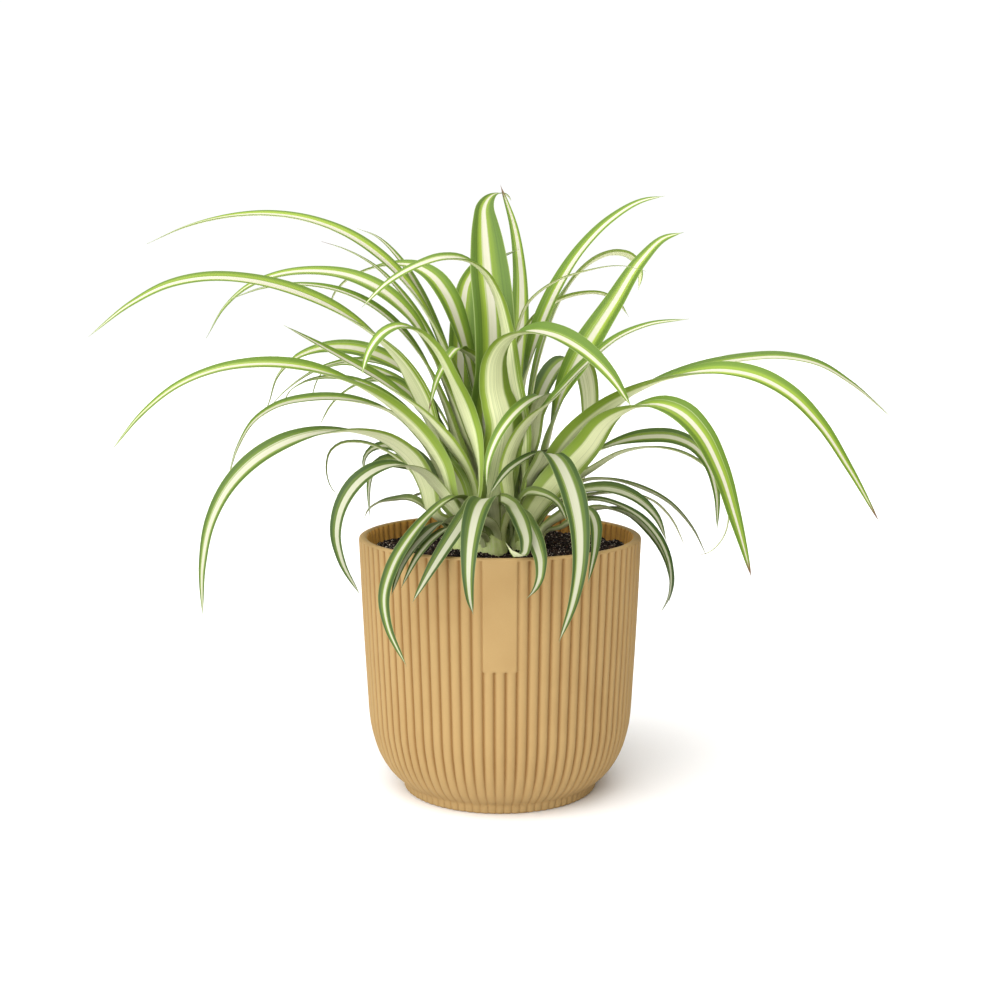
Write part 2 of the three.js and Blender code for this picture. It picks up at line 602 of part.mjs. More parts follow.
/** Moves crossing leaves apart, a little each round, keeping every blade a smooth line. */
function partLeaves(blades) {
  const agreements = new Map();
  for (let round = 0; round < ROUNDS; round += 1) {
    blades.forEach(faceStations);
    const samples = blades.flatMap(sampleBlade);
    const moves = blades.map((blade) => blade.stations.map(() => new THREE.Vector3()));
    const weights = blades.map((blade) => blade.stations.map(() => 0));
    const push = (sample, move) => {
      const amount = freedom(sample.along);
      [[sample.k, 1 - sample.share], [sample.k + 1, sample.share]].forEach(([k, share]) => {
        moves[sample.owner][k].addScaledVector(move, amount * share);
        weights[sample.owner][k] += share;
      });
    };
    let crossings = 0;
    for (let i = 0; i < samples.length; i += 1) {
      const a = samples[i];
      const off = pushOffPot(a, blades);
      if (off) push(a, off);
      for (let j = i + 1; j < samples.length; j += 1) {
        const b = samples[j];
        if (a.owner === b.owner) continue;
        const reach = a.reach + b.reach + LEAF_GAP;
        if (a.middle.distanceToSquared(b.middle) > reach * reach) continue;
        const key = `${a.owner} ${b.owner} ${Math.round(a.along / AGREED_SPAN)}`;
        const agreed = agreements.get(key) ?? new THREE.Vector3();
        const out = wayOut(a, b, agreed.length() > 0.5 ? agreed.clone().normalize() : null);
        if (!out) continue;
        agreed.multiplyScalar(AGREEMENT_KEPT).addScaledVector(out.axis, Math.min(1, out.depth));
        agreements.set(key, agreed);
        crossings += 1;
        const total = freedom(a.along) + freedom(b.along);
        push(a, out.axis.clone().multiplyScalar((PUSH * out.depth) / total));
        push(b, out.axis.clone().multiplyScalar((-PUSH * out.depth) / total));
      }
    }
    blades.forEach((blade, n) => bend(blade, moves[n], weights[n], EVENNESS * (1 - round / ROUNDS)));
    if (crossings === 0) break;
  }
  blades.forEach(faceStations);
}

/** Applies a round's pushes; the blade's whole departure from its first line is kept even along it. */
function bend(blade, moves, weights, evenness) {
  const { stations } = blade;
  stations.forEach((station, k) => {
    station.off ??= new THREE.Vector3();
    station.off.addScaledVector(moves[k], 1 / Math.max(1, weights[k]));
  });
  const offs = stations.map((station) => station.off.clone());
  stations.forEach((station, k) => {
    if (k < 2) return;
    const after = offs[Math.min(offs.length - 1, k + 1)];
    const even = offs[k - 1].clone().add(after).multiplyScalar(0.5);
    station.off.lerp(even, evenness);
  });
  moveSeat(blade);
  stations.forEach((station) => {
    station.first ??= station.line.clone();
    station.line.copy(station.first).add(station.off);
  });
}

/** The seated end moves sideways as one and stays inside its crown. */
function moveSeat(blade) {
  const crown = CROWNS[blade.crown];
  const [root, collar] = blade.stations;
  const first = root.first ?? root.line;
  const off = root.off.clone().lerp(collar.off, 0.5);
  const seat = new THREE.Vector2(first.x + off.x - crown.x, first.y + off.y - crown.y);
  seat.clampLength(0, crown.radius - SEAT_MARGIN);
  root.off.set(seat.x + crown.x - first.x, seat.y + crown.y - first.y, 0);
  collar.off.copy(root.off);
}

// ---------------------------------------------------------------- leaves: solids

/** A folded strip of six-point sections; both faces are split along the same diagonals. */
function bladeGeometry(blade, { grow = 0, stations = blade.stations } = {}) {
  const points = [];
  const thick = BLADE_THICKNESS / 2 + grow;
  for (const s of stations) {
    const half = s.half + grow;
    for (const [side, lift] of [[-1, s.fold], [0, 0], [1, s.fold]]) {
      const middle = s.line.clone().addScaledVector(s.across, side * half).addScaledVector(s.normal, lift);
      for (const face of [thick, -thick]) points.push(middle.clone().addScaledVector(s.normal, face));
    }
  }
  const at = (k, side, under) => 6 * k + 2 * (side + 1) + (under ? 1 : 0);
  const faces = [];
  const quad = (a, b, c, d) => faces.push([a, b, c], [a, c, d]);
  for (let k = 0; k + 1 < stations.length; k += 1) {
    for (const side of [-1, 0]) {
      const next = side + 1;
      faces.push([at(k, side), at(k + 1, side), at(k + 1, next)]);
      faces.push([at(k, side), at(k + 1, next), at(k, next)]);
      faces.push([at(k, side, 1), at(k + 1, next, 1), at(k + 1, side, 1)]);
      faces.push([at(k, side, 1), at(k, next, 1), at(k + 1, next, 1)]);
    }
    quad(at(k, -1, 1), at(k + 1, -1, 1), at(k + 1, -1), at(k, -1));
    quad(at(k, 1, 1), at(k, 1), at(k + 1, 1), at(k + 1, 1, 1));
  }
  const end = stations.length - 1;
  for (const side of [-1, 0]) {
    quad(at(0, side, 1), at(0, side), at(0, side + 1), at(0, side + 1, 1));
    quad(at(end, side), at(end, side, 1), at(end, side + 1, 1), at(end, side + 1));
  }
  return geometryOf(points, faces);
}

/** The seated end of a blade, widened by the clearance: what its crown is cut with. */
function slotCutter(blade) {
  const [root, ...rest] = blade.stations;
  const below = { ...root, line: root.line.clone().addScaledVector(root.tangent, -CLEARANCE) };
  const near = rest.filter((station, k) => k < 2 || station.along < CUTTER_LENGTH);
  return solidOf(bladeGeometry(blade, { grow: CLEARANCE, stations: [below, ...near] }));
}

function largestPiece(solid) {
  return solid.decompose().sort((a, b) => b.volume() - a.volume())[0];
}

function crownGeometry(name, leaves, inner) {
  let solid = crownSolid(CROWNS[name]);
  const stands = (blade) => blade.crown === name;
  for (const blade of leaves.filter(stands)) solid = solid.subtract(slotCutter(blade));
  solid = largestPiece(solid);
  for (const blade of inner.filter(stands)) solid = solid.add(solidOf(bladeGeometry(blade)));
  return geometryOfSolid(largestPiece(solid));
}

// ---------------------------------------------------------------- assembly

const everyLeaf = [...LEAVES, ...INNER_LEAVES];
seatLeaves(everyLeaf);
everyLeaf.forEach(layLine);
partLeaves(everyLeaf);

const plant = new THREE.Group();
plant.add(named('pot', potGeometry(), POT_COLOUR, 0.6));
plant.add(named('soil', soilGeometry(), SOIL_COLOUR, 0.95));
for (const name of Object.keys(CROWNS)) {
  plant.add(named(`crown_${name}`, crownGeometry(name, LEAVES, INNER_LEAVES), CROWN_COLOUR, 0.6));
}
for (const blade of LEAVES) plant.add(named(`leaf_${blade.name}`, bladeGeometry(blade), LEAF_COLOUR, 0.5));

export default plant;
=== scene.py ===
"""A spider plant in a ribbed round pot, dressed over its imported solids.

Metres, +Z up, the pot's flat underside at z = 0 and the viewer on the -Y side. Every blade is laid again,
finer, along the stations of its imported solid; the pot, the soil and the crowns are worked out as surfaces.
"""

import json
import math

import bpy
import numpy as np
from bpy.props import FloatProperty, FloatVectorProperty, IntProperty, PointerProperty
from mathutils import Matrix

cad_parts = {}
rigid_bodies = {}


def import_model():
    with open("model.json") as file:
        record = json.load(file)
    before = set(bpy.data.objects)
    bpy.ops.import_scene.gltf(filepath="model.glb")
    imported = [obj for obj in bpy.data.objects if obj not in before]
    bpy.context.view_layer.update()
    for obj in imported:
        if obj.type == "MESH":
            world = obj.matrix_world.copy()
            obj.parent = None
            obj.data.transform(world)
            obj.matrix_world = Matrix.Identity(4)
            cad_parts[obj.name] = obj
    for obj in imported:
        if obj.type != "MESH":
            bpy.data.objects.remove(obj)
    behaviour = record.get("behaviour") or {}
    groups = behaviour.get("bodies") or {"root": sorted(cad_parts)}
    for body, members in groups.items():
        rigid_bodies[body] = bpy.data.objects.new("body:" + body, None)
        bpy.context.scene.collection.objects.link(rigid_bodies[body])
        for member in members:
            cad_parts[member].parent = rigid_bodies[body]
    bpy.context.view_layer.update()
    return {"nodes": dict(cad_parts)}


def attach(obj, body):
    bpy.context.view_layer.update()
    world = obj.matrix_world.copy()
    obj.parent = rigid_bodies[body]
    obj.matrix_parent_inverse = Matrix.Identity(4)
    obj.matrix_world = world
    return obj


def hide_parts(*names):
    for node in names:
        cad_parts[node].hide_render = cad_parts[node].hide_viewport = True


bl_info = {
    "name": "Potted spider plant",
    "version": (1, 0, 0),
    "blender": (4, 5, 0),
    "location": "View3D > Sidebar > Plant",
    "description": "Builds a spider plant in a ribbed pot over its packed solids",
    "category": "Object",
}

# a new file's own cube, lamp and camera aren't part of the plant
for startup in list(bpy.data.objects):
    bpy.data.objects.remove(startup, do_unlink=True)

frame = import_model()

BODY = "root"
MM = 0.001
CROWNS = ("crown_front", "crown_left", "crown_right", "crown_back")
LEAVES = tuple(sorted(name for name in frame["nodes"] if name.startswith("leaf_")))


# ---------------------------------------------------------------- what a user would change


def colour(name, description, value):
    """A colour a user can pick, given as red, green and blue in linear light."""
    return FloatVectorProperty(
        name=name, description=description, subtype="COLOR", size=3, min=0, max=1, default=value
    )


def length(name, description, value):
    """A length a user can set, in metres."""
    return FloatProperty(name=name, description=description, default=value, min=0, unit="LENGTH", precision=4)


def light_strength(name, description, value):
    """The strength of a light, 0 or more."""
    return FloatProperty(name=name, description=description, default=value, min=0)


class PotSettings(bpy.types.PropertyGroup):
    """Sizes and colours of the pot."""

    height: length("Height", "From the foot's underside to the top of the lip", 0.168)
    rib_count: IntProperty(name="Ribs", description="Upright ribs all the way round", default=80, min=12)
    rib_depth: length("Rib depth", "From a rib's crest to the bottom of its groove", 0.0017)
    panel_ribs: IntProperty(name="Panel ribs", description="Ribs left out under the plain panel", default=3)
    panel_bottom: length("Panel bottom", "Height of the plain panel's lower edge", 0.098)
    crest: colour("Crests", "Plastic on the ribs' crests", (0.36, 0.24, 0.103))
    # the groove colour is painted shade, darker than the crests; the mottling in the finish also uses it as a
    # random tone
    groove: colour("Grooves", "Plastic in the grooves", (0.2, 0.095, 0.026))
    # the inside colour is a painted glow of light bounced round inside the pot, brighter and more orange than
    # the crests of the same plastic
    inner: colour("Inside", "The inside wall, where the plastic lights itself", (0.62, 0.31, 0.07))


class SoilSettings(bpy.types.PropertyGroup):
    """Sizes and colours of the potting soil."""

    level: length("Level", "Mean height of the soil's surface", 0.157)
    lump: length("Lumps", "Height of the soil's low lumps", 0.0011)
    crumb_count: IntProperty(name="Crumbs", description="Loose crumbs on the surface", default=4200, min=0)
    crumb_size: length("Crumb size", "Radius of a middling crumb", 0.00085)
    dark: colour("Dark soil", "Wet peat", (0.0065, 0.0035, 0.0028))
    brown: colour("Brown soil", "Drier fibres", (0.06, 0.028, 0.017))
    glint: colour("Glints", "Pale grains of sand and fibre", (0.72, 0.6, 0.5))


class LeafSettings(bpy.types.PropertyGroup):
    """Sizes and colours of the leaves."""

    thickness: length("Thickness", "Thickness of a blade along its middle", 0.0009)
    row_step: length("Row step", "Distance between two rows of a blade's faces", 0.004)
    cream: colour("Stripe", "The cream stripe on the upper side", (0.56, 0.54, 0.42))
    faded: colour("Old stripe", "The stripe of the low, older leaves", (0.37, 0.375, 0.27))
    lime: colour("Lines", "Yellow-green lines beside the stripe", (0.32, 0.43, 0.045))
    green: colour("Margins", "Margins of the bright upper leaves", (0.112, 0.195, 0.02))
    dark: colour("Dark margins", "Margins of the low, older leaves", (0.022, 0.047, 0.01))
    # the underside's pale middle is the leaf's own colour, but its brightness above the upper stripe's is
    # painted light standing in for light shining through the blade
    sage: colour("Underside", "The wide pale middle of the underside", (0.74, 0.78, 0.43))
    base: colour("Base", "Sheathing bases near the soil", (0.64, 0.75, 0.28))
    dry: colour("Dry tips", "Withered brown tips", (0.14, 0.075, 0.035))


class StageSettings(bpy.types.PropertyGroup):
    """The floor, the light and the camera."""

    distance: length("Camera distance", "From the pot's middle, on the level", 0.99894)
    height: length("Camera height", "Above the floor", 0.33245)
    pitch: FloatProperty(
        name="Camera pitch",
        description="Tilt below the level",
        default=0.1412,
        subtype="ANGLE",
        unit="ROTATION",
    )
    lens: FloatProperty(name="Lens", description="Focal length in millimetres", default=55.7485, min=1)
    key: light_strength("Key light", "The soft light from the left front", 2.2)
    key_spread: FloatProperty(
        name="Key spread",
        description="Width of the key light in the sky",
        default=1.3,
        subtype="ANGLE",
        unit="ROTATION",
    )
    skyline: light_strength("Skyline", "The white light near the level", 1.03)
    sky: light_strength("Sky", "The dimmer light halfway up", 0.3)
    zenith: light_strength("Overhead", "The light from overhead", 1.8)
    fill: light_strength("Fill", "The broad light behind the viewer, from the left", 1.45)
    warmth: colour("Warmth", "Colour of the dim light from the right", (1.0, 0.8, 0.56))
    floor: colour("Floor", "The plain pale floor", (0.9, 0.9, 0.9))


SETTINGS = {
    "plant_pot": PotSettings,
    "plant_soil": SoilSettings,
    "plant_leaf": LeafSettings,
    "plant_stage": StageSettings,
}


# ---------------------------------------------------------------- shader maths


class Value:
    """A socket of a material. A sum, product or other formula of values adds its Math nodes."""

    def __init__(self, finish, socket):
        self.finish = finish
        self.socket = socket

    def _math(self, operation, *terms):
        return self.finish.add("ShaderNodeMath", {"operation": operation}, dict(enumerate(terms)))

    def __add__(self, other):
        return self._math("ADD", self, other)

    def __radd__(self, other):
        return self._math("ADD", other, self)

    def __sub__(self, other):
        return self._math("SUBTRACT", self, other)

    def __rsub__(self, other):
        return self._math("SUBTRACT", other, self)

    def __mul__(self, other):
        return self._math("MULTIPLY", self, other)

    def __rmul__(self, other):
        return self._math("MULTIPLY", other, self)

    def __abs__(self):
        return self._math("ABSOLUTE", self)

    def larger(self, other):
        """The larger of two values."""
        return self._math("MAXIMUM", self, other)

    def step(self, low, high):
        """0 below low and 1 above high, with a smooth S between them; high may be the lower one."""
        settings = {"interpolation_type": "SMOOTHSTEP"}
        return self.finish.add(
            "ShaderNodeMapRange", settings, {"Value": self, "From Min": low, "From Max": high}
        )


class Wiring:
    """A node tree, and the one method that adds nodes to it."""

    def __init__(self, tree):
        self.tree = tree

    def _socket(self, sockets, key):
        if isinstance(key, int):
            return sockets[key]
        return next(s for s in sockets if s.enabled and key == s.name)

    def add(self, kind, settings=None, sockets=None, output=None):
        """A node of a kind: its settings first, then values or links for its sockets; gives its output."""
        node = self.tree.nodes.new(kind)
        for setting, value in (settings or {}).items():
            setattr(node, setting, value)
        for key, value in (sockets or {}).items():
            socket = self._socket(node.inputs, key)
            if isinstance(value, Value):
                self.tree.links.new(value.socket, socket)
            elif hasattr(value, "__len__") and len(value) == 3 and socket.type == "RGBA":
                socket.default_value = (*value, 1)
            else:
                socket.default_value = value
        plug = next(s for s in node.outputs if s.enabled) if output is None else node.outputs[output]
        return Value(self, plug)

    def place(self):
        """Object coordinates, which are the row frame's metres on every piece."""
        return self.add("ShaderNodeTexCoord", output="Object")

    def parts(self, name):
        """The three numbers of a vector attribute."""
        vector = self.add("ShaderNodeAttribute", {"attribute_name": name}, output="Vector")
        split = self.add("ShaderNodeSeparateXYZ", None, {"Vector": vector})
        return [Value(self, plug) for plug in split.socket.node.outputs]

    def vector(self, x, y, z):
        """A vector of three numbers or values."""
        return self.add("ShaderNodeCombineXYZ", None, {"X": x, "Y": y, "Z": z})

    def noise(self, vector, scale, detail=2.0, rough=0.5):
        """Smooth noise from 0 to 1 at a vector."""
        sockets = {"Vector": vector, "Scale": scale, "Detail": detail, "Roughness": rough}
        return self.add("ShaderNodeTexNoise", None, sockets)

    def mix(self, below, above, amount):
        """The colour below, with the colour above over it by an amount."""
        settings = {"data_type": "RGBA", "blend_type": "MIX"}
        return self.add("ShaderNodeMix", settings, {"Factor": amount, "A": below, "B": above})


class Finish(Wiring):
    """One material: a Principled surface and the nodes that feed it."""

    def __init__(self, name, roughness=0.5, **uniform):
        self.material = bpy.data.materials.new(name)
        self.material.use_nodes = True
        super().__init__(self.material.node_tree)
        self.surface = self.tree.nodes["Principled BSDF"]
        self.surface.inputs["Roughness"].default_value = roughness
        for socket, value in uniform.items():
            self.surface.inputs[socket.replace("_", " ")].default_value = value

    def shows(self, base=None, roughness=None, bump=None, depth=0.0002, strength=1.0):
        """Links colour, roughness and the height of a relief to the surface, and gives the material."""
        wanted = {"Base Color": base, "Roughness": roughness}
        if bump is not None:
            sockets = {"Height": bump, "Distance": depth, "Strength": strength}
            wanted["Normal"] = self.add("ShaderNodeBump", None, sockets)
        for name, value in wanted.items():
            if value is not None:
                self.tree.links.new(value.socket, self.surface.inputs[name])
        return self.material


def plastic_finish(pot):
    """Matte moulded plastic with painted shade in the grooves and a painted glow of bounced light on the
    inside wall, faintly mottled, with a fine grain.
    """
    finish = Finish("pot_plastic", Specular_IOR_Level=0.04)
    place = finish.place()
    depth, inside, _ = finish.parts("rib")
    cloud = finish.noise(place, 28, 3)
    grain = finish.noise(place, 1500, 2)
    # painted glow of bounced light over the inside wall
    crest = finish.mix(pot.crest, pot.inner, inside * 0.85)
    # painted shade: darker towards the bottom of each groove
    base = finish.mix(crest, pot.groove, depth.step(0.1, 1.0) * 0.8)
    base = finish.mix(base, pot.groove, cloud.step(0.45, 0.8) * 0.12)
    base = finish.mix(base, (0.45, 0.32, 0.17), grain.step(0.55, 0.75) * 0.10)
    return finish.shows(base, 0.5 + cloud * 0.16, grain, depth=0.00008, strength=0.5)


def soil_finish(soil):
    """Damp peat: near black, with brown fibres and pale grains that catch the light."""
    finish = Finish("soil_peat", Specular_IOR_Level=0.2)
    place = finish.place()
    coarse = finish.noise(place, 420, 4, 0.65)
    fine = finish.noise(place, 1400, 3, 0.6)
    grains = finish.add("ShaderNodeTexVoronoi", {"feature": "F1"}, {"Vector": place, "Scale": 900.0})
    base = finish.mix(soil.dark, soil.brown, coarse.step(0.5, 0.72))
    glints = grains.step(0.36, 0.2) * finish.noise(place, 500, 1).step(0.42, 0.52)
    base = finish.mix(base, soil.glint, glints * 0.9)
    return finish.shows(base, 0.95 - glints * 0.4, coarse + fine * 0.6, depth=0.0012, strength=0.9)


def crumb_finish(soil):
    """Loose crumbs, each with a shade of its own from near black to a pale grain."""
    finish = Finish("soil_crumbs", Specular_IOR_Level=0.2)
    place = finish.place()
    shade = finish.parts("crumb")[0]
    fine = finish.noise(place, 1200, 3, 0.6)
    base = finish.mix(soil.dark, soil.brown, shade.step(0.3, 0.9))
    base = finish.mix(base, soil.glint, shade.step(0.87, 0.92) * 0.9)
    base = finish.mix(base, soil.dark, fine.step(0.4, 0.7) * 0.5)
    return finish.shows(base, 0.9 - shade * 0.2, fine, depth=0.0005, strength=0.8)


def leaf_finish(leaf):
    """A striped blade: pale middle, yellow-green lines beside it and green margins, all running along it.

    place holds how far a point is across (-1 to 1), its run from the root in metres, and 1 on the underside.
    look holds how dark the leaf is, half the width of its stripe, and how far the stripe stands off centre.
    draw holds the leaf's seed, how dry its tip is, and the share of its length.
    """
    finish = Finish("leaf_blade", Specular_IOR_Level=0.25)
    across, run, under = finish.parts("place")
    dark, stripe, lean = finish.parts("look")
    seed, dry, along = finish.parts("draw")

    bands = finish.noise(finish.vector(across * 2.6 + seed * 9, run * 2.2, seed), 1, 2, 0.6)
    lines = finish.noise(finish.vector(across * 11 + seed * 31, run * 1.6, seed * 3), 1, 3, 0.65)
    veins = finish.noise(finish.vector(across * 30 + seed * 17, run * 3.0, seed * 7), 1, 2, 0.5)
    wander = finish.noise(finish.vector(run * 7 + seed * 13, seed * 5, 0.0), 1, 1, 0.5)

    off = abs(across - lean - (wander - 0.5) * 0.16)
    wide = stripe * (1 + under * 1.1) + (lines - 0.5) * 0.24
    cream = (off - wide).step(0.05 + 0.1 * under, -0.06)
    pencil = lines.step(0.61, 0.68) * (off - wide).step(0.42, 0.1)
    lime = (off - wide).step(0.36 + 0.2 * bands, 0.0) * (1 - 0.7 * dark) * (1 - 0.4 * under)
    fade = run.step(0.1, 0.0) * (1 - 0.45 * dark)

    margin = finish.mix(leaf.green, leaf.dark, dark)
    margin = finish.mix(margin, leaf.dark, veins.step(0.5, 0.75) * 0.35)
    margin = finish.mix(margin, leaf.lime, under * 0.3)
    margin = finish.mix(margin, leaf.base, fade * 0.42)
    body = finish.mix(margin, leaf.lime, lime * (0.35 + 0.65 * bands.step(0.35, 0.65)))
    pale = finish.mix(leaf.cream, leaf.faded, dark)
    # partly painted light: the underside's real pale middle, made brighter than the stripe to stand in for
    # light shining through the blade
    silvery = (under * 0.85).larger(veins.step(0.52, 0.7) * 0.15)
    pale = finish.mix(pale, leaf.sage, (1 - dark * 0.6) * silvery)
    pale = finish.mix(pale, leaf.base, fade * 0.6)
    pale = finish.mix(pale, leaf.green, veins.step(0.46, 0.68) * (0.05 + 0.27 * under + 0.12 * dark))
    body = finish.mix(body, pale, cream.larger(pencil * 0.85))
    rim = abs(across).step(0.93, 1.0)
    body = finish.mix(body, leaf.sage, rim * 0.2)
    withered = along.step(0.955, 0.985) * dry
    body = finish.mix(body, leaf.dry, withered)
    return finish.shows(body, 0.46 + lines * 0.12 + under * 0.1, veins + lines, depth=0.00006, strength=0.4)


def sheath_finish(leaf):
    """The crown's sheaths: pale green-white with fine upright lines."""
    finish = Finish("crown_sheath", Specular_IOR_Level=0.4)
    place = finish.place()
    pleat, height, seed = finish.parts("pleat")
    lines = finish.noise(finish.vector(pleat * 40, height * 6, seed), 1, 3, 0.6)
    cloud = finish.noise(place, 90, 2)
    base = finish.mix(leaf.base, leaf.sage, lines.step(0.4, 0.7) * 0.7)
    base = finish.mix(base, leaf.green, cloud.step(0.5, 0.8) * 0.3)
    base = finish.mix(base, leaf.dry, height.step(0.2, 0.0) * 0.35)
    return finish.shows(base, 0.5 + lines * 0.15, lines, depth=0.0003, strength=0.6)


def floor_finish(stage):
    """A plain pale studio floor, with a breath of unevenness."""
    finish = Finish("studio_floor", roughness=0.9, Specular_IOR_Level=0.1)
    cloud = finish.noise(finish.place(), 3, 2)
    base = finish.mix(stage.floor, (0.93, 0.93, 0.93), cloud.step(0.4, 0.7) * 0.2)
    return finish.shows(base, 0.85 + cloud * 0.1)


# ---------------------------------------------------------------- meshes from arrays


def piece(name, points, faces, material, slot, attributes=None, sharp=None):
    """One object from arrays of points and faces, with vector attributes of its points.

    sharp numbers the chains of points whose edges are sharp, from 1 on. A piece with a slot is hung on the
    body; the floor has none.
    """
    mesh = bpy.data.meshes.new(name)
    mesh.from_pydata(points.tolist(), [], [face for group in faces for face in group.tolist()])
    for key, values in (attributes or {}).items():
        layer = mesh.attributes.new(key, "FLOAT_VECTOR", "POINT")
        layer.data.foreach_set("vector", np.ascontiguousarray(values, np.float32).ravel())
    mesh.polygons.foreach_set("use_smooth", np.ones(len(mesh.polygons), bool))
    if sharp is not None:
        ends = np.empty(len(mesh.edges) * 2, np.int32)
        mesh.edges.foreach_get("vertices", ends)
        ends = sharp[ends.reshape(-1, 2)]
        mesh.edges.foreach_set("use_edge_sharp", (ends[:, 0] > 0) & (ends[:, 0] == ends[:, 1]))
    mesh.materials.append(material)
    mesh.validate()
    mesh.update()
    made = bpy.data.objects.new(name, mesh)
    bpy.context.scene.collection.objects.link(made)
    if slot:
        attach(made, BODY)
    return made


def skin(rows, columns):
    """Faces of a grid of rows whose columns close on themselves, outward for points that run left-handed."""
    row, column = np.meshgrid(np.arange(rows - 1), np.arange(columns), indexing="ij")
    after = (column + 1) % columns
    here, above = row * columns, (row + 1) * columns
    corners = [here + column, here + after, above + after, above + column]
    return np.stack(corners, axis=-1).reshape(-1, 4)


def lid(ring, middle, upward):
    """A fan of triangles from a ring of points to one middle point."""
    after = np.roll(ring, -1)
    fan = [ring, after, np.full_like(ring, middle)]
    return np.stack(fan if upward else fan[::-1], axis=-1)


def full_turn(columns):
    """The angles of evenly spaced columns all the way round."""
    return 2 * np.pi * np.arange(columns) / columns


def lathe(heights, radii, turn, lower, upper):
    """A closed body from heights and radii, row by row round the Z axis, with a middle point for each lid."""
    rows, columns = radii.shape
    points = np.stack([
        radii * np.cos(turn), radii * np.sin(turn), np.broadcast_to(heights, radii.shape),
    ], axis=-1).reshape(-1, 3)
    points = np.concatenate([points, [lower, upper]])
    first, last = np.arange(columns), np.arange(columns) + (rows - 1) * columns
    return points, [
        skin(rows, columns),
        lid(first, rows * columns, False),
        lid(last, rows * columns + 1, True),
    ]


def smooth(low, high, x):
    """The smooth S from 0 at low to 1 at high: 3t^2 - 2t^3 of the share t between them."""
    t = np.clip((x - low) / (high - low), 0, 1)
    return t * t * (3 - 2 * t)


def eased(knots, values, at):
    """A smooth curve through values at knots: on each span the cubic whose end slopes are the weighted
    means of the slopes on either side."""
    values = np.asarray(values, float)
    flat = values.reshape(len(knots), -1)
    span = np.diff(knots)[:, None]
    slope = np.diff(flat, axis=0) / span
    mean = (slope[1:] * span[:-1] + slope[:-1] * span[1:]) / (span[1:] + span[:-1])
    slopes = np.concatenate([slope[:1], mean, slope[-1:]])
    k = np.clip(np.searchsorted(knots, at, side="right") - 1, 0, len(knots) - 2)
    h = span[k]
    t = ((at - knots[k])[:, None]) / h
    low, high = flat[k], flat[k + 1]
    curve = (
        low * (2 * t**3 - 3 * t**2 + 1)
        + h * slopes[k] * (t**3 - 2 * t**2 + t)
        + high * (3 * t**2 - 2 * t**3)
        + h * slopes[k + 1] * (t**3 - t**2)
    )
    return curve.reshape(len(at), *values.shape[1:])


def unit(vectors):
    """The vectors with their lengths made 1."""
    return vectors / np.linalg.norm(vectors, axis=-1, keepdims=True)


def waves(x, y, seed, octaves, first, rough):
    """Rough ground: waves of random direction and phase, each octave 1.9 times as fine and rough as high."""
    draw = np.random.default_rng(seed)
    total = np.zeros_like(x)
    for octave in range(octaves):
        for _ in range(3):
            way, phase = draw.uniform(0, 2 * np.pi, 2)
            fine = first * 1.9**octave * draw.uniform(0.8, 1.25)
            total += rough**octave * np.sin(fine * (x * np.cos(way) + y * np.sin(way)) + phase)
    return total / 3


# ---------------------------------------------------------------- the pot

# height of the pot that the two profiles are drawn for, in millimetres
PROFILE_HEIGHT = 168
# heights and crest radii of the wall, from the foot to the lip, in millimetres
WALL_PROFILE = np.array([
    [0.0, 62.6], [0.5, 63.4], [1.4, 63.9], [3.6, 64.2], [5.4, 64.5], [6.5, 65.2], [8.2, 67.4], [11.3, 70.9],
    [14, 73.4], [17, 75.6], [22.6, 78.9], [28, 81.4], [34, 83.3], [39, 84.6], [45, 85.8], [50, 86.4],
    [61, 87.1], [72, 87.7], [83, 88.3], [94, 88.9], [104, 89.4], [115, 89.9], [126, 90.4], [136, 90.8],
    [152, 91.4], [162, 91.8], [165.2, 91.95], [166.1, 91.95], [166.7, 91.85],
])
# heights and radii of the lip, from its outside over its top to the inner wall and down to below the soil
LIP_PROFILE = np.array([
    [167.0, 91.7], [167.4, 91.3], [167.8, 90.6], [168, 89.6], [168, 88.4], [167.7, 87.3], [167.1, 86.6],
    [166.4, 86.2], [165.4, 85.9], [164.0, 85.8], [162.6, 85.7], [160, 85.55], [156, 85.3], [152, 85.2],
    [150, 85.0],
])
# points of that profile that are the smooth lip, before the inner wall begins
LIP_POINTS = 6
# heights and radii of the pot's inside below the soil
INNER_FLOOR = np.array([[60, 82], [9, 56]])
# extra rows of faces at the panel's lower edge and where the ribs fade into the lip
EDGE_ROWS = [96, 97.2, 98, 98.6, 99.4, 161, 163, 164.8, 165.7, 166.4]
# how sharply a groove is cut between its ribs
GROOVE_POWER = 2.3
# the share of a rib's half pitch at which each column of faces stands: close together in the groove
RIB_COLUMNS = np.array([0.0, 0.3, 0.56, 0.76, 0.9, 1.0, 1.1, 1.24, 1.44, 1.7])


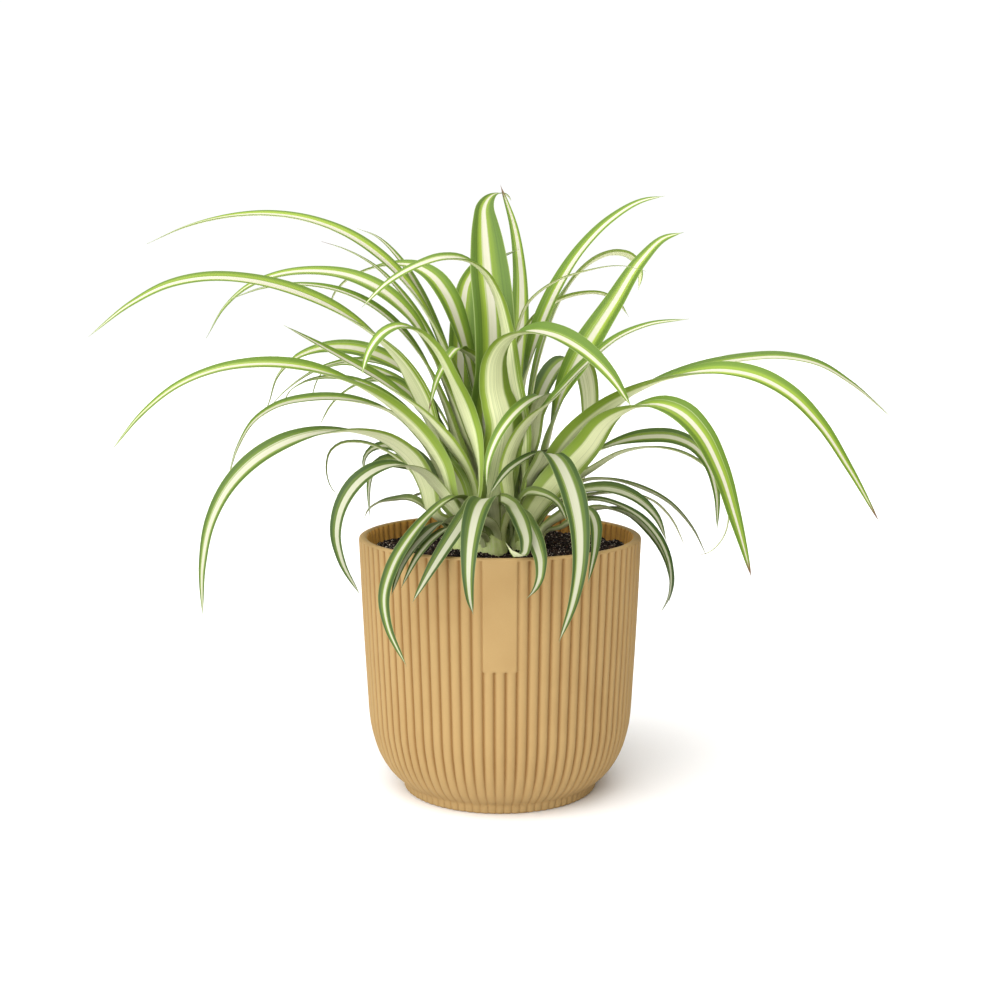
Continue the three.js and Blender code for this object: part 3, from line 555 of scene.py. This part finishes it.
def pot_surface(pot):
    """The pot as a lathed shell.

    Its radius is the profile's, less the rib's depth times a power of how far a point lies from the rib's
    crest, from 0 there to 1 in the groove. The ribs fade out into the smooth lip and stand out again on
    the inner wall, and over the plain panel the crest radius is kept. The shell goes down inside to a
    floor under the soil.
    """
    scale = pot.height / (PROFILE_HEIGHT * MM)
    z = np.unique(np.concatenate([
        WALL_PROFILE[:, 0],
        np.arange(7, 30, 2.0),
        np.arange(30, 160, 5.0),
        EDGE_ROWS,
    ]))
    crest = eased(WALL_PROFILE[:, 0], WALL_PROFILE[:, 1], z)
    heights = np.concatenate([z, LIP_PROFILE[:, 0], INNER_FLOOR[:, 0]]) * MM * scale
    radii = np.concatenate([crest, LIP_PROFILE[:, 1], INNER_FLOOR[:, 1]]) * MM * scale
    outside = np.arange(len(heights)) < len(z)
    inside = np.arange(len(heights)) >= len(z) + LIP_POINTS

    pitch = 2 * np.pi / pot.rib_count
    turn = ((np.arange(pot.rib_count)[:, None] + RIB_COLUMNS / 2) * pitch).ravel()
    crest_turn = turn - math.pi / 2
    from_crest = np.abs((turn / pitch + 0.5) % 1 - 0.5) * 2
    groove = from_crest**GROOVE_POWER
    depth = np.where(
        outside,
        pot.rib_depth * (0.45 + 0.55 * smooth(0, 0.04, heights)) * smooth(0.1672, 0.1660, heights),
        np.where(inside, -0.9 * pot.rib_depth * smooth(0.1678, 0.1664, heights), 0),
    )
    depth[-len(INNER_FLOOR):] = 0

    half_panel = pot.panel_ribs / 2 * pitch
    aside = np.abs((turn + np.pi) % (2 * np.pi) - np.pi)
    over_panel = smooth(half_panel + 0.12 * pitch, half_panel - 0.12 * pitch, aside)[None, :]
    above_edge = smooth(pot.panel_bottom - 0.0008, pot.panel_bottom + 0.0004, heights)
    over_panel = over_panel * (above_edge * outside)[:, None]
    shape = groove[None, :] * (1 - over_panel)
    radii = radii[:, None] - depth[:, None] * shape
    # how deep in its groove a point lies, from 0 on a crest to 1 at the bottom; the finish paints shade by it
    rib = shape * np.abs(depth)[:, None] / pot.rib_depth

    points, faces = lathe(heights[:, None], radii, crest_turn, [0, 0, 0], [0, 0, heights[-1]])
    rib = np.concatenate([rib.ravel(), [0, 0]])
    # 1 on the inside wall, where the finish paints a warm glow of bounced light
    inner = np.concatenate([np.repeat(inside * 1.0, len(turn)), [0, 1]])
    return points, faces, np.stack([rib, inner, rib * 0], axis=-1)


# ---------------------------------------------------------------- the soil


# radius of the ground's edge, just inside the pot's inner wall, and how far its skirt goes down there
SOIL_EDGE = 0.0856
SOIL_SKIRT = 0.008
SOIL_MIDDLE = 0.0004
SOIL_RINGS, SOIL_COLUMNS = 150, 400
# height of the fine rough ground
ROUGHNESS = 0.0008
# how far out crumbs lie, and the share of them that are larger and dark; the rest are small pale grains
CRUMB_REACH = 0.083
DARK_CRUMBS = 0.88


def soil_height(soil, x, y):
    """Mean level, plus the two crossing waves of the packed soil, plus fine rough ground."""
    u, v = x / MM, y / MM
    lumps = np.sin(u * 0.11 + 1.3) * np.cos(v * 0.13 - 0.4) + 0.6 * np.sin(u * 0.23 - v * 0.19 + 2.1)
    rough_ground = waves(x, y, seed=11, octaves=6, first=380.0, rough=0.75)
    return soil.level + soil.lump * lumps + ROUGHNESS * rough_ground


def soil_surface(soil):
    """A disc of rough ground out to the pot's inner wall, with a short skirt and a flat underside."""
    rings = np.linspace(SOIL_EDGE, SOIL_MIDDLE, SOIL_RINGS)
    radius = np.concatenate([[SOIL_EDGE * 0.97, SOIL_EDGE], rings])[:, None]
    turn = full_turn(SOIL_COLUMNS)
    z = soil_height(soil, radius * np.cos(turn), radius * np.sin(turn))
    foot = soil.level - SOIL_SKIRT
    z[:2] = foot
    radii = np.broadcast_to(radius, z.shape)
    return lathe(z, radii, turn, [0, 0, foot], [0, 0, float(z[-1].mean())])


def twenty_sided():
    """Points and faces of a twenty-sided solid, wound outwards."""
    g = (1 + math.sqrt(5)) / 2
    points = np.array([
        (-1, g, 0), (1, g, 0), (-1, -g, 0), (1, -g, 0), (0, -1, g), (0, 1, g),
        (0, -1, -g), (0, 1, -g), (g, 0, -1), (g, 0, 1), (-g, 0, -1), (-g, 0, 1),
    ]) / math.hypot(1, g)
    faces = np.array([
        (0, 11, 5), (0, 5, 1), (0, 1, 7), (0, 7, 10), (0, 10, 11),
        (1, 5, 9), (5, 11, 4), (11, 10, 2), (10, 7, 6), (7, 1, 8),
        (3, 9, 4), (3, 4, 2), (3, 2, 6), (3, 6, 8), (3, 8, 9),
        (4, 9, 5), (2, 4, 11), (6, 2, 10), (8, 6, 7), (9, 8, 1),
    ])
    return points, faces


def crumbs(soil):
    """Loose crumbs: twenty-sided lumps, squashed, turned and scattered over the ground by a seeded draw."""
    draw = np.random.default_rng(23)
    count = soil.crumb_count
    ball, faces = twenty_sided()
    reach = CRUMB_REACH * np.sqrt(draw.uniform(0, 1, count))
    turn = draw.uniform(0, 2 * np.pi, count)
    x, y = reach * np.cos(turn), reach * np.sin(turn)
    size = soil.crumb_size * draw.lognormal(-0.15, 0.5, count).clip(0.3, 1.7)
    shade = draw.uniform(0, 1, count)
    size = np.where(shade > DARK_CRUMBS, size * 0.6, size)
    lumpy = ball[None] * draw.uniform(0.72, 1.2, (count, len(ball), 1))
    stretch = draw.uniform(0.55, 1.35, (count, 1, 3)) * [1, 1, 0.8]
    spin = draw.uniform(0, 2 * np.pi, (count, 1))
    lumpy = lumpy * stretch
    turned = np.stack([
        lumpy[..., 0] * np.cos(spin) - lumpy[..., 1] * np.sin(spin),
        lumpy[..., 0] * np.sin(spin) + lumpy[..., 1] * np.cos(spin),
        lumpy[..., 2],
    ], axis=-1)
    seat = np.stack([x, y, soil_height(soil, x, y) + size * 0.15], axis=-1)
    points = (seat[:, None] + turned * size[:, None, None]).reshape(-1, 3)
    shade = np.repeat(shade, len(ball))
    start = np.arange(count)[:, None, None] * len(ball)
    return points, [(faces[None] + start).reshape(-1, 3)], np.stack([shade, shade * 0, shade * 0], axis=-1)


# ---------------------------------------------------------------- blades, from the stations of their solids

# points in a ring of a packed blade
RING = 6
# how far a blade goes down into its crown below its solid's root
ROOT_DEPTH = 0.007
# points across a blade's upper side, and the fewest rows along it
BLADE_COLUMNS = 9
FEWEST_ROWS = 14


def welded(node):
    """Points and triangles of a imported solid, with the loose corners that meet made one."""
    mesh = frame["nodes"][node].data
    loose = np.empty(len(mesh.vertices) * 3)
    mesh.vertices.foreach_get("co", loose)
    loose = loose.reshape(-1, 3)
    corners = np.empty(len(mesh.polygons) * 3, np.int32)
    mesh.polygons.foreach_get("vertices", corners)
    _, kept, index = np.unique(np.round(loose / 1e-6), axis=0, return_index=True, return_inverse=True)
    return loose[kept], index.ravel()[corners].reshape(-1, 3)


def spread(triangles, reached):
    """Every point of the triangles that touch the points reached so far."""
    grown = reached.copy()
    grown[triangles[reached[triangles].any(axis=1)].ravel()] = True
    return grown


def furthest(triangles, root):
    """One of the points that a spread over the faces from the root reaches last."""
    reached = last = root
    while True:
        grown = spread(triangles, reached)
        if (grown == reached).all():
            return np.flatnonzero(last)[0]
        last = grown & ~reached
        reached = grown


def rings_from(points, triangles, end):
    """Rings of six points of a blade, from the end with the given point on.

    The first ring is the six points nearest to it, and each next one is what the last one's faces reach anew.
    """
    ring = np.argsort(np.linalg.norm(points - points[end], axis=1))[:RING]
    taken = np.zeros(len(points), bool)
    taken[ring] = True
    rings = [ring]
    while True:
        grown = spread(triangles, taken)
        fresh = np.flatnonzero(grown & ~taken)
        if len(fresh) != RING:
            return points[np.array(rings)]
        taken = grown
        rings.append(fresh)


def stations(rings):
    """Middle line, across, normal, half width and fold of each ring, from the root to the tip.

    A ring lies flat, so the direction of its greatest spread is across and that of none is along. Its two
    outer pairs stand off the middle pair by the fold, to the upper side.
    """
    middle = rings.mean(axis=1, keepdims=True)
    _, _, axes = np.linalg.svd(rings - middle)
    ahead = np.gradient(middle[:, 0], axis=0)
    along = axes[:, 2] * np.sign((axes[:, 2] * ahead).sum(1))[:, None]
    across = axes[:, 0].copy()
    for k in range(1, len(across)):
        if across[k] @ across[k - 1] < 0:
            across[k] *= -1
    reach = ((rings - middle) * across[:, None]).sum(2)
    order = np.argsort(reach, axis=1)
    sorted_rings = np.take_along_axis(rings, order[..., None], axis=1)
    right, centre, left = (sorted_rings[:, k:k + 2].mean(axis=1) for k in (0, 2, 4))
    half = np.linalg.norm(left - right, axis=1) / 2
    normal = np.cross(along, across)
    fold = (((left + right) / 2 - centre) * normal).sum(1)
    if fold[np.argmax(half)] < 0:
        across, normal, fold = -across, -normal, -fold
    return centre, across, normal, half, fold


def blade_surface(leaf, stations, seed, look):
    """A fine closed strip over a blade's stations.

    A point is line + x half across + (fold |x|^1.4 + wave) normal, for x from -1 to 1, with half the
    thickness above and below it; the thickness falls to a third at the edges. The root goes on down into
    the crown with a sheathing base, and the tip is drawn out to a point, from the look's taper on.
    """
    line, across, normal, half, fold = stations
    down = unit(line[:1] - line[1:2]) * ROOT_DEPTH
    line = np.concatenate([line[:1] + down, line])
    across, normal = (np.concatenate([a[:1], a]) for a in (across, normal))
    half, fold = (np.concatenate([a[:1], a]) for a in (half, fold))
    knots = np.concatenate([[0], np.cumsum(np.linalg.norm(np.diff(line, axis=0), axis=1))])
    total = knots[-1]
    rows = max(FEWEST_ROWS, int(total / leaf.row_step))
    at = np.linspace(0, 1, rows)
    at = total * (1 - (1 - at) ** 1.12)
    share = at / total
    middle = eased(knots, line, at)
    middle[:, 0] += look["sway"] * smooth(0.78, 1, share)
    ahead = unit(np.gradient(middle, axis=0))
    wide = eased(knots, across, at)
    wide = unit(wide - (wide * ahead).sum(1, keepdims=True) * ahead)
    up = np.cross(ahead, wide)
    run = at - ROOT_DEPTH
    width = np.interp(at, knots, half) * 0.35 + eased(knots, half, at) * 0.65
    broad = half.max() * (0.5 + 0.48 * smooth(0, 0.055, run))
    broad = broad * smooth(look["full"] + 0.22, look["full"], share)
    width = np.maximum(width, broad) * (1 - 0.7 * smooth(look["taper"], look["taper"] + 0.26, share))
    width = width * (0.62 + 0.38 * smooth(-0.008, 0.012, run))
    left = total - at
    width = width * smooth(-0.004, 0.011, left) ** 0.6 * (0.12 + 0.88 * smooth(-0.001, 0.006, left))
    channel = eased(knots, fold, at) + width * (0.30 * smooth(0.11, 0.0, run) + 0.06)

    columns = BLADE_COLUMNS
    x = -np.cos(np.pi * np.arange(columns) / (columns - 1))
    x = x * (0.75 + 0.25 * np.abs(x))
    ripple = look["wave"] * np.sin(run[:, None] * 55 + seed * 6 + x * 1.5) * x**2 * width[:, None]
    pleat = 0.05 * np.cos(x * 2.5 * np.pi)[None] * width[:, None]
    rise = channel[:, None] * (np.sqrt(x**2 + 0.015) ** 1.4)[None] + ripple + pleat
    thick = leaf.thickness * (1 - 0.68 * x**2)[None] * np.clip(width / 0.003, 0.25, 1)[:, None]

    flat = middle[:, None] + x[None, :, None] * width[:, None, None] * wide[:, None]
    top = flat + (rise + thick / 2)[..., None] * up[:, None]
    low = flat + (rise - thick / 2)[..., None] * up[:, None]
    ring = np.concatenate([top, low[:, -2:0:-1]], axis=1)
    around = ring.shape[1]
    points = ring.reshape(-1, 3)
    points = np.concatenate([points, [middle[0], middle[-1] + ahead[-1] * 0.0006]])
    ends = np.arange(around)
    faces = [
        skin(rows, around)[:, ::-1],
        lid(ends, rows * around, True),
        lid(ends + (rows - 1) * around, rows * around + 1, False),
    ]

    sides = np.concatenate([x, x[-2:0:-1]])
    under = np.concatenate([np.zeros(columns), np.ones(columns - 2)])
    under[[0, columns - 1]] = 0.5
    grid = np.ones((rows, 1))
    place = np.stack([grid * sides, run[:, None] * np.ones(around), grid * under], axis=-1).reshape(-1, 3)
    place = np.concatenate([place, [[0, run[0], 0.5], [0, run[-1], 0.5]]])
    chain = np.zeros(around, int)
    chain[0], chain[columns - 1] = 1, 2
    sharp = np.concatenate([np.tile(chain, rows), [0, 0]])
    along = np.concatenate([np.repeat(share, around), [0, 1]])
    return points, faces, place, along, sharp


# how the single leaves differ from the run of them: dark 0-1, half stripe, stripe off centre (lean), dry
# tip, the shares of its length up to which a leaf is full and from which it narrows early, and how far its
# tip sways to the right
LOOKS = {
    "leaf_centre_01": {"lean": 0.05, "dark": 0.3, "stripe": 0.2, "full": 0.6, "taper": 0.7, "sway": 0.018},
    "leaf_right_01": {"lean": 0.06, "dark": 0.12, "stripe": 0.22, "dry": 1.0},
    "leaf_right_02": {"lean": 0.02, "dark": 0.0, "stripe": 0.22},
    "leaf_right_03": {"lean": -0.3, "dark": 0.3, "stripe": 0.45},
    "leaf_right_20": {"dark": 0.7, "dry": 1.0},
    "leaf_right_14": {"dark": 0.6, "dry": 1.0},
    "leaf_left_20": {"dark": 0.85},
    "leaf_left_21": {"dark": 0.85},
    "leaf_front_01": {"dark": 0.85, "stripe": 0.22, "lean": -0.1},
    "leaf_front_04": {"dark": 0.9, "stripe": 0.3, "lean": 0.05},
    "leaf_front_08": {"dark": 0.9, "stripe": 0.34, "lean": 0.0},
}


def looks_of(name, line, draw):
    """How one leaf looks: a seeded draw, darker for a low leaf, and over it what LOOKS says of this one."""
    height = float(np.percentile(line[:, 2], 75))
    dark = float(smooth(0.27, 0.2, height)) * 0.85 + draw.uniform(0, 0.15)
    look = {
        "dark": dark,
        "stripe": draw.uniform(0.2, 0.32) + 0.08 * dark,
        "lean": draw.uniform(-0.16, 0.16),
        "dry": float(draw.uniform() > 0.86),
        "wave": draw.uniform(0.02, 0.07),
        "full": 0.4,
        "taper": 1.0,
        "sway": 0.0,
    }
    look.update(LOOKS.get(name, {}))
    return look


def blade(leaf, node, name, rings, material, seed):
    """One leaf's object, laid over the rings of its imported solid."""
    draw = np.random.default_rng(seed)
    laid = stations(rings)
    look = looks_of(node, laid[0], draw)
    points, faces, place, along, sharp = blade_surface(leaf, laid, seed % 7, look)
    ones = np.ones(len(points))
    attributes = {
        "place": place,
        "look": np.stack([ones * look["dark"], ones * look["stripe"], ones * look["lean"]], axis=-1),
        "draw": np.stack([ones * draw.uniform(0, 10), ones * look["dry"], along], axis=-1),
    }
    return piece(name, points, faces, material, "leaf", attributes, sharp)


# heights of a crown's rows and their shares of its radius
CROWN_PROFILE = np.array([
    [0.148, 0.5], [0.1505, 0.8], [0.153, 0.93], [0.155, 1.0], [0.157, 1.04], [0.159, 1.02], [0.161, 0.97],
    [0.163, 0.9], [0.165, 0.81], [0.167, 0.69], [0.1688, 0.52], [0.1702, 0.3], [0.171, 0.1],
])
CROWN_UNDERSIDE, CROWN_TIP = 0.1475, 0.1713
CROWN_COLUMNS = 96
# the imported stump's foot is this share of its full radius, and the sheaths take this share of that
STUMP_FOOT, SHEATH_SHARE = 0.7, 0.95
# height above which a crown's points belong to its inner leaves, and the height they are rooted at
STUMP_TOP, ROOT_HEIGHT = 0.169, 0.164


def crown_middle(node):
    """Middle and radius of a crown's sheaths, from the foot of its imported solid."""
    points, _ = welded(node)
    foot = points[points[:, 2] < points[:, 2].min() + 0.0005]
    return (foot.min(axis=0) + foot.max(axis=0)) / 2, np.ptp(foot[:, 0]) / 2 * SHEATH_SHARE / STUMP_FOOT


def crown_surface(middle, radius, seed):
    """A clump of sheathing bases: a low bulb whose radius swells and folds in pleats that lean round it."""
    heights, shares = CROWN_PROFILE[:, :1], CROWN_PROFILE[:, 1:]
    turn = full_turn(CROWN_COLUMNS)
    lean = turn[None] + (heights - 0.157) * 18 + seed
    pleats = 1 - 0.10 * np.abs(np.sin(lean * 4.5)) ** 3 - 0.03 * np.cos(lean * 9)
    radii = radius * shares * pleats
    points, faces = lathe(heights, radii, turn, [0, 0, CROWN_UNDERSIDE], [0, 0, CROWN_TIP])
    points = points + [middle[0], middle[1], 0]
    rise = np.clip((points[:, 2] - 0.154) / 0.02, 0, 1)
    pleat = np.concatenate([np.tile(turn / (2 * np.pi), len(heights)), [0, 0]])
    return points, faces, np.stack([pleat, rise, np.full(len(points), float(seed))], axis=-1)


def rooted(rings, middle, radius):
    """The rings of a small leaf with one more at its root, where the first one stands clear of its crown.

    The new ring is the first one moved to at most 0.6 of the crown's radius from its middle.
    """
    first = rings[0].mean(axis=0)
    out = first[:2] - middle[:2]
    reach = np.linalg.norm(out)
    seat = np.append(middle[:2] + out * min(1, 0.6 * radius / reach), ROOT_HEIGHT)
    if np.linalg.norm(seat - first) < 0.008:
        return rings
    return np.concatenate([rings[:1] + (seat - first), rings])


def inner_leaves(node):
    """The rings of each small leaf that is fused to a crown, found in the faces above the stump."""
    points, triangles = welded(node)
    middle, radius = crown_middle(node)
    crown_top = np.append(middle[:2], 0.17)
    aside = np.linalg.norm(points[:, :2] - middle[:2], axis=1)
    above = (points[:, 2] > STUMP_TOP) | (aside > radius + 0.003)
    free = triangles[above[triangles].all(axis=1)]
    waiting = np.zeros(len(points), bool)
    waiting[free.ravel()] = True
    found = []
    while waiting.any():
        patch = np.zeros(len(points), bool)
        patch[np.flatnonzero(waiting)[0]] = True
        while True:
            grown = spread(free, patch)
            if (grown == patch).all():
                break
            patch = grown
        waiting &= ~patch
        own = free[patch[free].all(axis=1)]
        away = np.where(patch, np.linalg.norm(points - crown_top, axis=1), np.inf)
        rings = rings_from(points, own, furthest(own, away <= away.min() + 1e-6))
        if len(rings) > 2:
            found.append(rooted(rings[::-1], middle, radius))
    return found


# ---------------------------------------------------------------- operators


# a hair below the pot's underside, so that the two don't flicker
FLOOR_LEVEL = -0.0002
FLOOR_RADII = np.array([0.02, 3.02, 6.02])
FLOOR_COLUMNS = 96
# the way to the key light
KEY_SOURCE = (-0.5, -0.9, 1.15)


class PLANT_OT_stage(bpy.types.Operator):
    """Lays the pale floor, and sets the light and the camera."""

    bl_idname = "plant.stage"
    bl_label = "Stage"

    def execute(self, context):
        stage = context.scene.plant_stage
        turn = full_turn(FLOOR_COLUMNS)
        radius = FLOOR_RADII[:, None]
        x, y = radius * np.cos(turn), radius * np.sin(turn)
        top = np.stack([x, y, np.full_like(x, FLOOR_LEVEL)], axis=-1).reshape(-1, 3)
        points = np.concatenate([top, [[0, 0, FLOOR_LEVEL]]])
        inner_ring = np.arange(FLOOR_COLUMNS)
        faces = [skin(len(FLOOR_RADII), FLOOR_COLUMNS)[:, ::-1], lid(inner_ring, len(top), True)]
        floor = piece("studio_floor", points, faces, floor_finish(stage), None)

        context.scene.world = self.sky(stage)
        context.scene.view_settings.view_transform = "Standard"
        self.lamp(context, "key", KEY_SOURCE, stage.key, stage.key_spread)
        self.camera(context, stage)
        return {"FINISHED"}

    def sky(self, stage):
        """The light of the sky, by direction: a white skyline that is dimmer at both sides, a dimmer light
        halfway up, a bright one overhead, a fill from behind the viewer and a warm tint on the right."""
        world = bpy.data.worlds.new("studio_sky")
        world.use_nodes = True
        wiring = Wiring(world.node_tree)
        way = wiring.add("ShaderNodeTexCoord", output="Generated")
        split = wiring.add("ShaderNodeSeparateXYZ", None, {"Vector": way})
        up = Value(wiring, split.socket.node.outputs["Z"])
        ahead = Value(wiring, split.socket.node.outputs["Y"])
        aside = Value(wiring, split.socket.node.outputs["X"])
        strength = stage.sky * aside.step(0.9, -0.5) + up.step(0.62, 0.9) * (stage.zenith - stage.sky)
        right, left = aside.step(0.36, 0.75), aside.step(-0.4, -0.8)
        level = stage.skyline * (1 - 0.9 * right) * (1 - 0.4 * left)
        strength = strength + up.step(0.42, 0.24) * (level - strength)
        strength = strength + (ahead + aside * 0.5).step(-0.1, -0.9) * stage.fill
        background = world.node_tree.nodes["Background"]
        tint = wiring.mix((1.0, 1.0, 1.0), stage.warmth, aside.step(0.25, 0.85))
        world.node_tree.links.new(tint.socket, background.inputs["Color"])
        world.node_tree.links.new(strength.socket, background.inputs["Strength"])
        return world

    def lamp(self, context, name, source, energy, spread):
        """A soft sun that shines from a direction on the whole stage."""
        light = bpy.data.lights.new(name, "SUN")
        light.energy = energy
        light.angle = spread
        lamp = bpy.data.objects.new(name, light)
        x, y, z = source
        lamp.rotation_euler = (math.atan2(math.hypot(x, y), z), 0, math.atan2(y, x) + math.pi / 2)
        context.scene.collection.objects.link(lamp)

    def camera(self, context, stage):
        """The photograph's view: level with the Y axis and pitched a little down."""
        view = bpy.data.cameras.new("camera")
        view.lens = stage.lens
        view.sensor_width = 36
        view.clip_start, view.clip_end = 0.01, 50
        camera = bpy.data.objects.new("camera", view)
        camera.location = (0, -stage.distance, stage.height)
        camera.rotation_euler = (math.pi / 2 - stage.pitch, 0, 0)
        context.scene.collection.objects.link(camera)
        context.scene.camera = camera


class PLANT_OT_pot(bpy.types.Operator):
    """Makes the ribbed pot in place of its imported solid."""

    bl_idname = "plant.pot"
    bl_label = "Pot"

    def execute(self, context):
        pot = context.scene.plant_pot
        points, faces, rib = pot_surface(pot)
        made = piece("pot_shell", points, faces, plastic_finish(pot), "pot", {"rib": rib})
        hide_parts("pot")
        return {"FINISHED"}


class PLANT_OT_soil(bpy.types.Operator):
    """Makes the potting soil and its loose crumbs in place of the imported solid."""

    bl_idname = "plant.soil"
    bl_label = "Soil"

    def execute(self, context):
        soil = context.scene.plant_soil
        points, faces = soil_surface(soil)
        ground = piece("soil_ground", points, faces, soil_finish(soil), "soil")
        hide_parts("soil")
        points, faces, shade = crumbs(soil)
        piece("soil_crumbs", points, faces, crumb_finish(soil), "soil", {"crumb": shade})
        return {"FINISHED"}


class PLANT_OT_crowns(bpy.types.Operator):
    """Makes the four crowns, with the small inner leaves that grow fast to them."""

    bl_idname = "plant.crowns"
    bl_label = "Crowns"

    def execute(self, context):
        leaf = context.scene.plant_leaf
        sheath = sheath_finish(leaf)
        blades = leaf_finish(leaf)
        number = 0
        for seed, node in enumerate(CROWNS):
            middle, radius = crown_middle(node)
            points, faces, pleat = crown_surface(middle, radius, seed)
            made = piece(node + "_sheath", points, faces, sheath, "crown", {"pleat": pleat})
            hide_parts(node)
            for rings in inner_leaves(node):
                number += 1
                blade(leaf, "inner", f"blade_inner_{number:02d}", rings, blades, 500 + number)
        return {"FINISHED"}


class PLANT_OT_leaves(bpy.types.Operator):
    """Lays every leaf again, finer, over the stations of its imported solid."""

    bl_idname = "plant.leaves"
    bl_label = "Leaves"

    def execute(self, context):
        leaf = context.scene.plant_leaf
        material = leaf_finish(leaf)
        middles = np.array([crown_middle(node)[0] for node in CROWNS])
        for seed, node in enumerate(LEAVES):
            points, triangles = welded(node)
            aside = np.linalg.norm(points[:, None, :2] - middles[None, :, :2], axis=2).min(axis=1)
            root = np.argmin(aside + 4 * np.abs(points[:, 2] - context.scene.plant_soil.level))
            rings = rings_from(points, triangles, root)
            if len(rings) * RING != len(points):
                raise RuntimeError(f"{node}: {len(rings)} rings don't hold its {len(points)} points")
            made = blade(leaf, node, node.replace("leaf", "blade"), rings, material, seed)
            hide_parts(node)
        return {"FINISHED"}


class PLANT_PT_panel(bpy.types.Panel):
    """Lists the plant's sizes and colours, and a button for each of its pieces."""

    bl_label = "Potted spider plant"
    bl_idname = "PLANT_PT_panel"
    bl_space_type = "VIEW_3D"
    bl_region_type = "UI"
    bl_category = "Plant"

    def draw(self, context):
        for operator, group in ORDER:
            box = self.layout.box()
            box.operator(operator)
            settings = getattr(context.scene, group)
            for name in settings.__annotations__:
                box.prop(settings, name)


ORDER = (
    ("plant.stage", "plant_stage"),
    ("plant.pot", "plant_pot"),
    ("plant.soil", "plant_soil"),
    ("plant.crowns", "plant_leaf"),
    ("plant.leaves", "plant_leaf"),
)

CLASSES = (
    PotSettings,
    SoilSettings,
    LeafSettings,
    StageSettings,
    PLANT_OT_stage,
    PLANT_OT_pot,
    PLANT_OT_soil,
    PLANT_OT_crowns,
    PLANT_OT_leaves,
    PLANT_PT_panel,
)


def register():
    """Registers the classes and hangs the settings on the scene."""
    for made in CLASSES:
        bpy.utils.register_class(made)
    for name, group in SETTINGS.items():
        setattr(bpy.types.Scene, name, PointerProperty(type=group))


def unregister():
    """Takes the settings and the classes off again."""
    for name in SETTINGS:
        delattr(bpy.types.Scene, name)
    for made in reversed(CLASSES):
        bpy.utils.unregister_class(made)


def main():
    """Builds the whole plant."""
    register()
    for name, _ in ORDER:
        family, made = name.split(".")
        getattr(getattr(bpy.ops, family), made)()


if __name__ == "__main__":
    main()
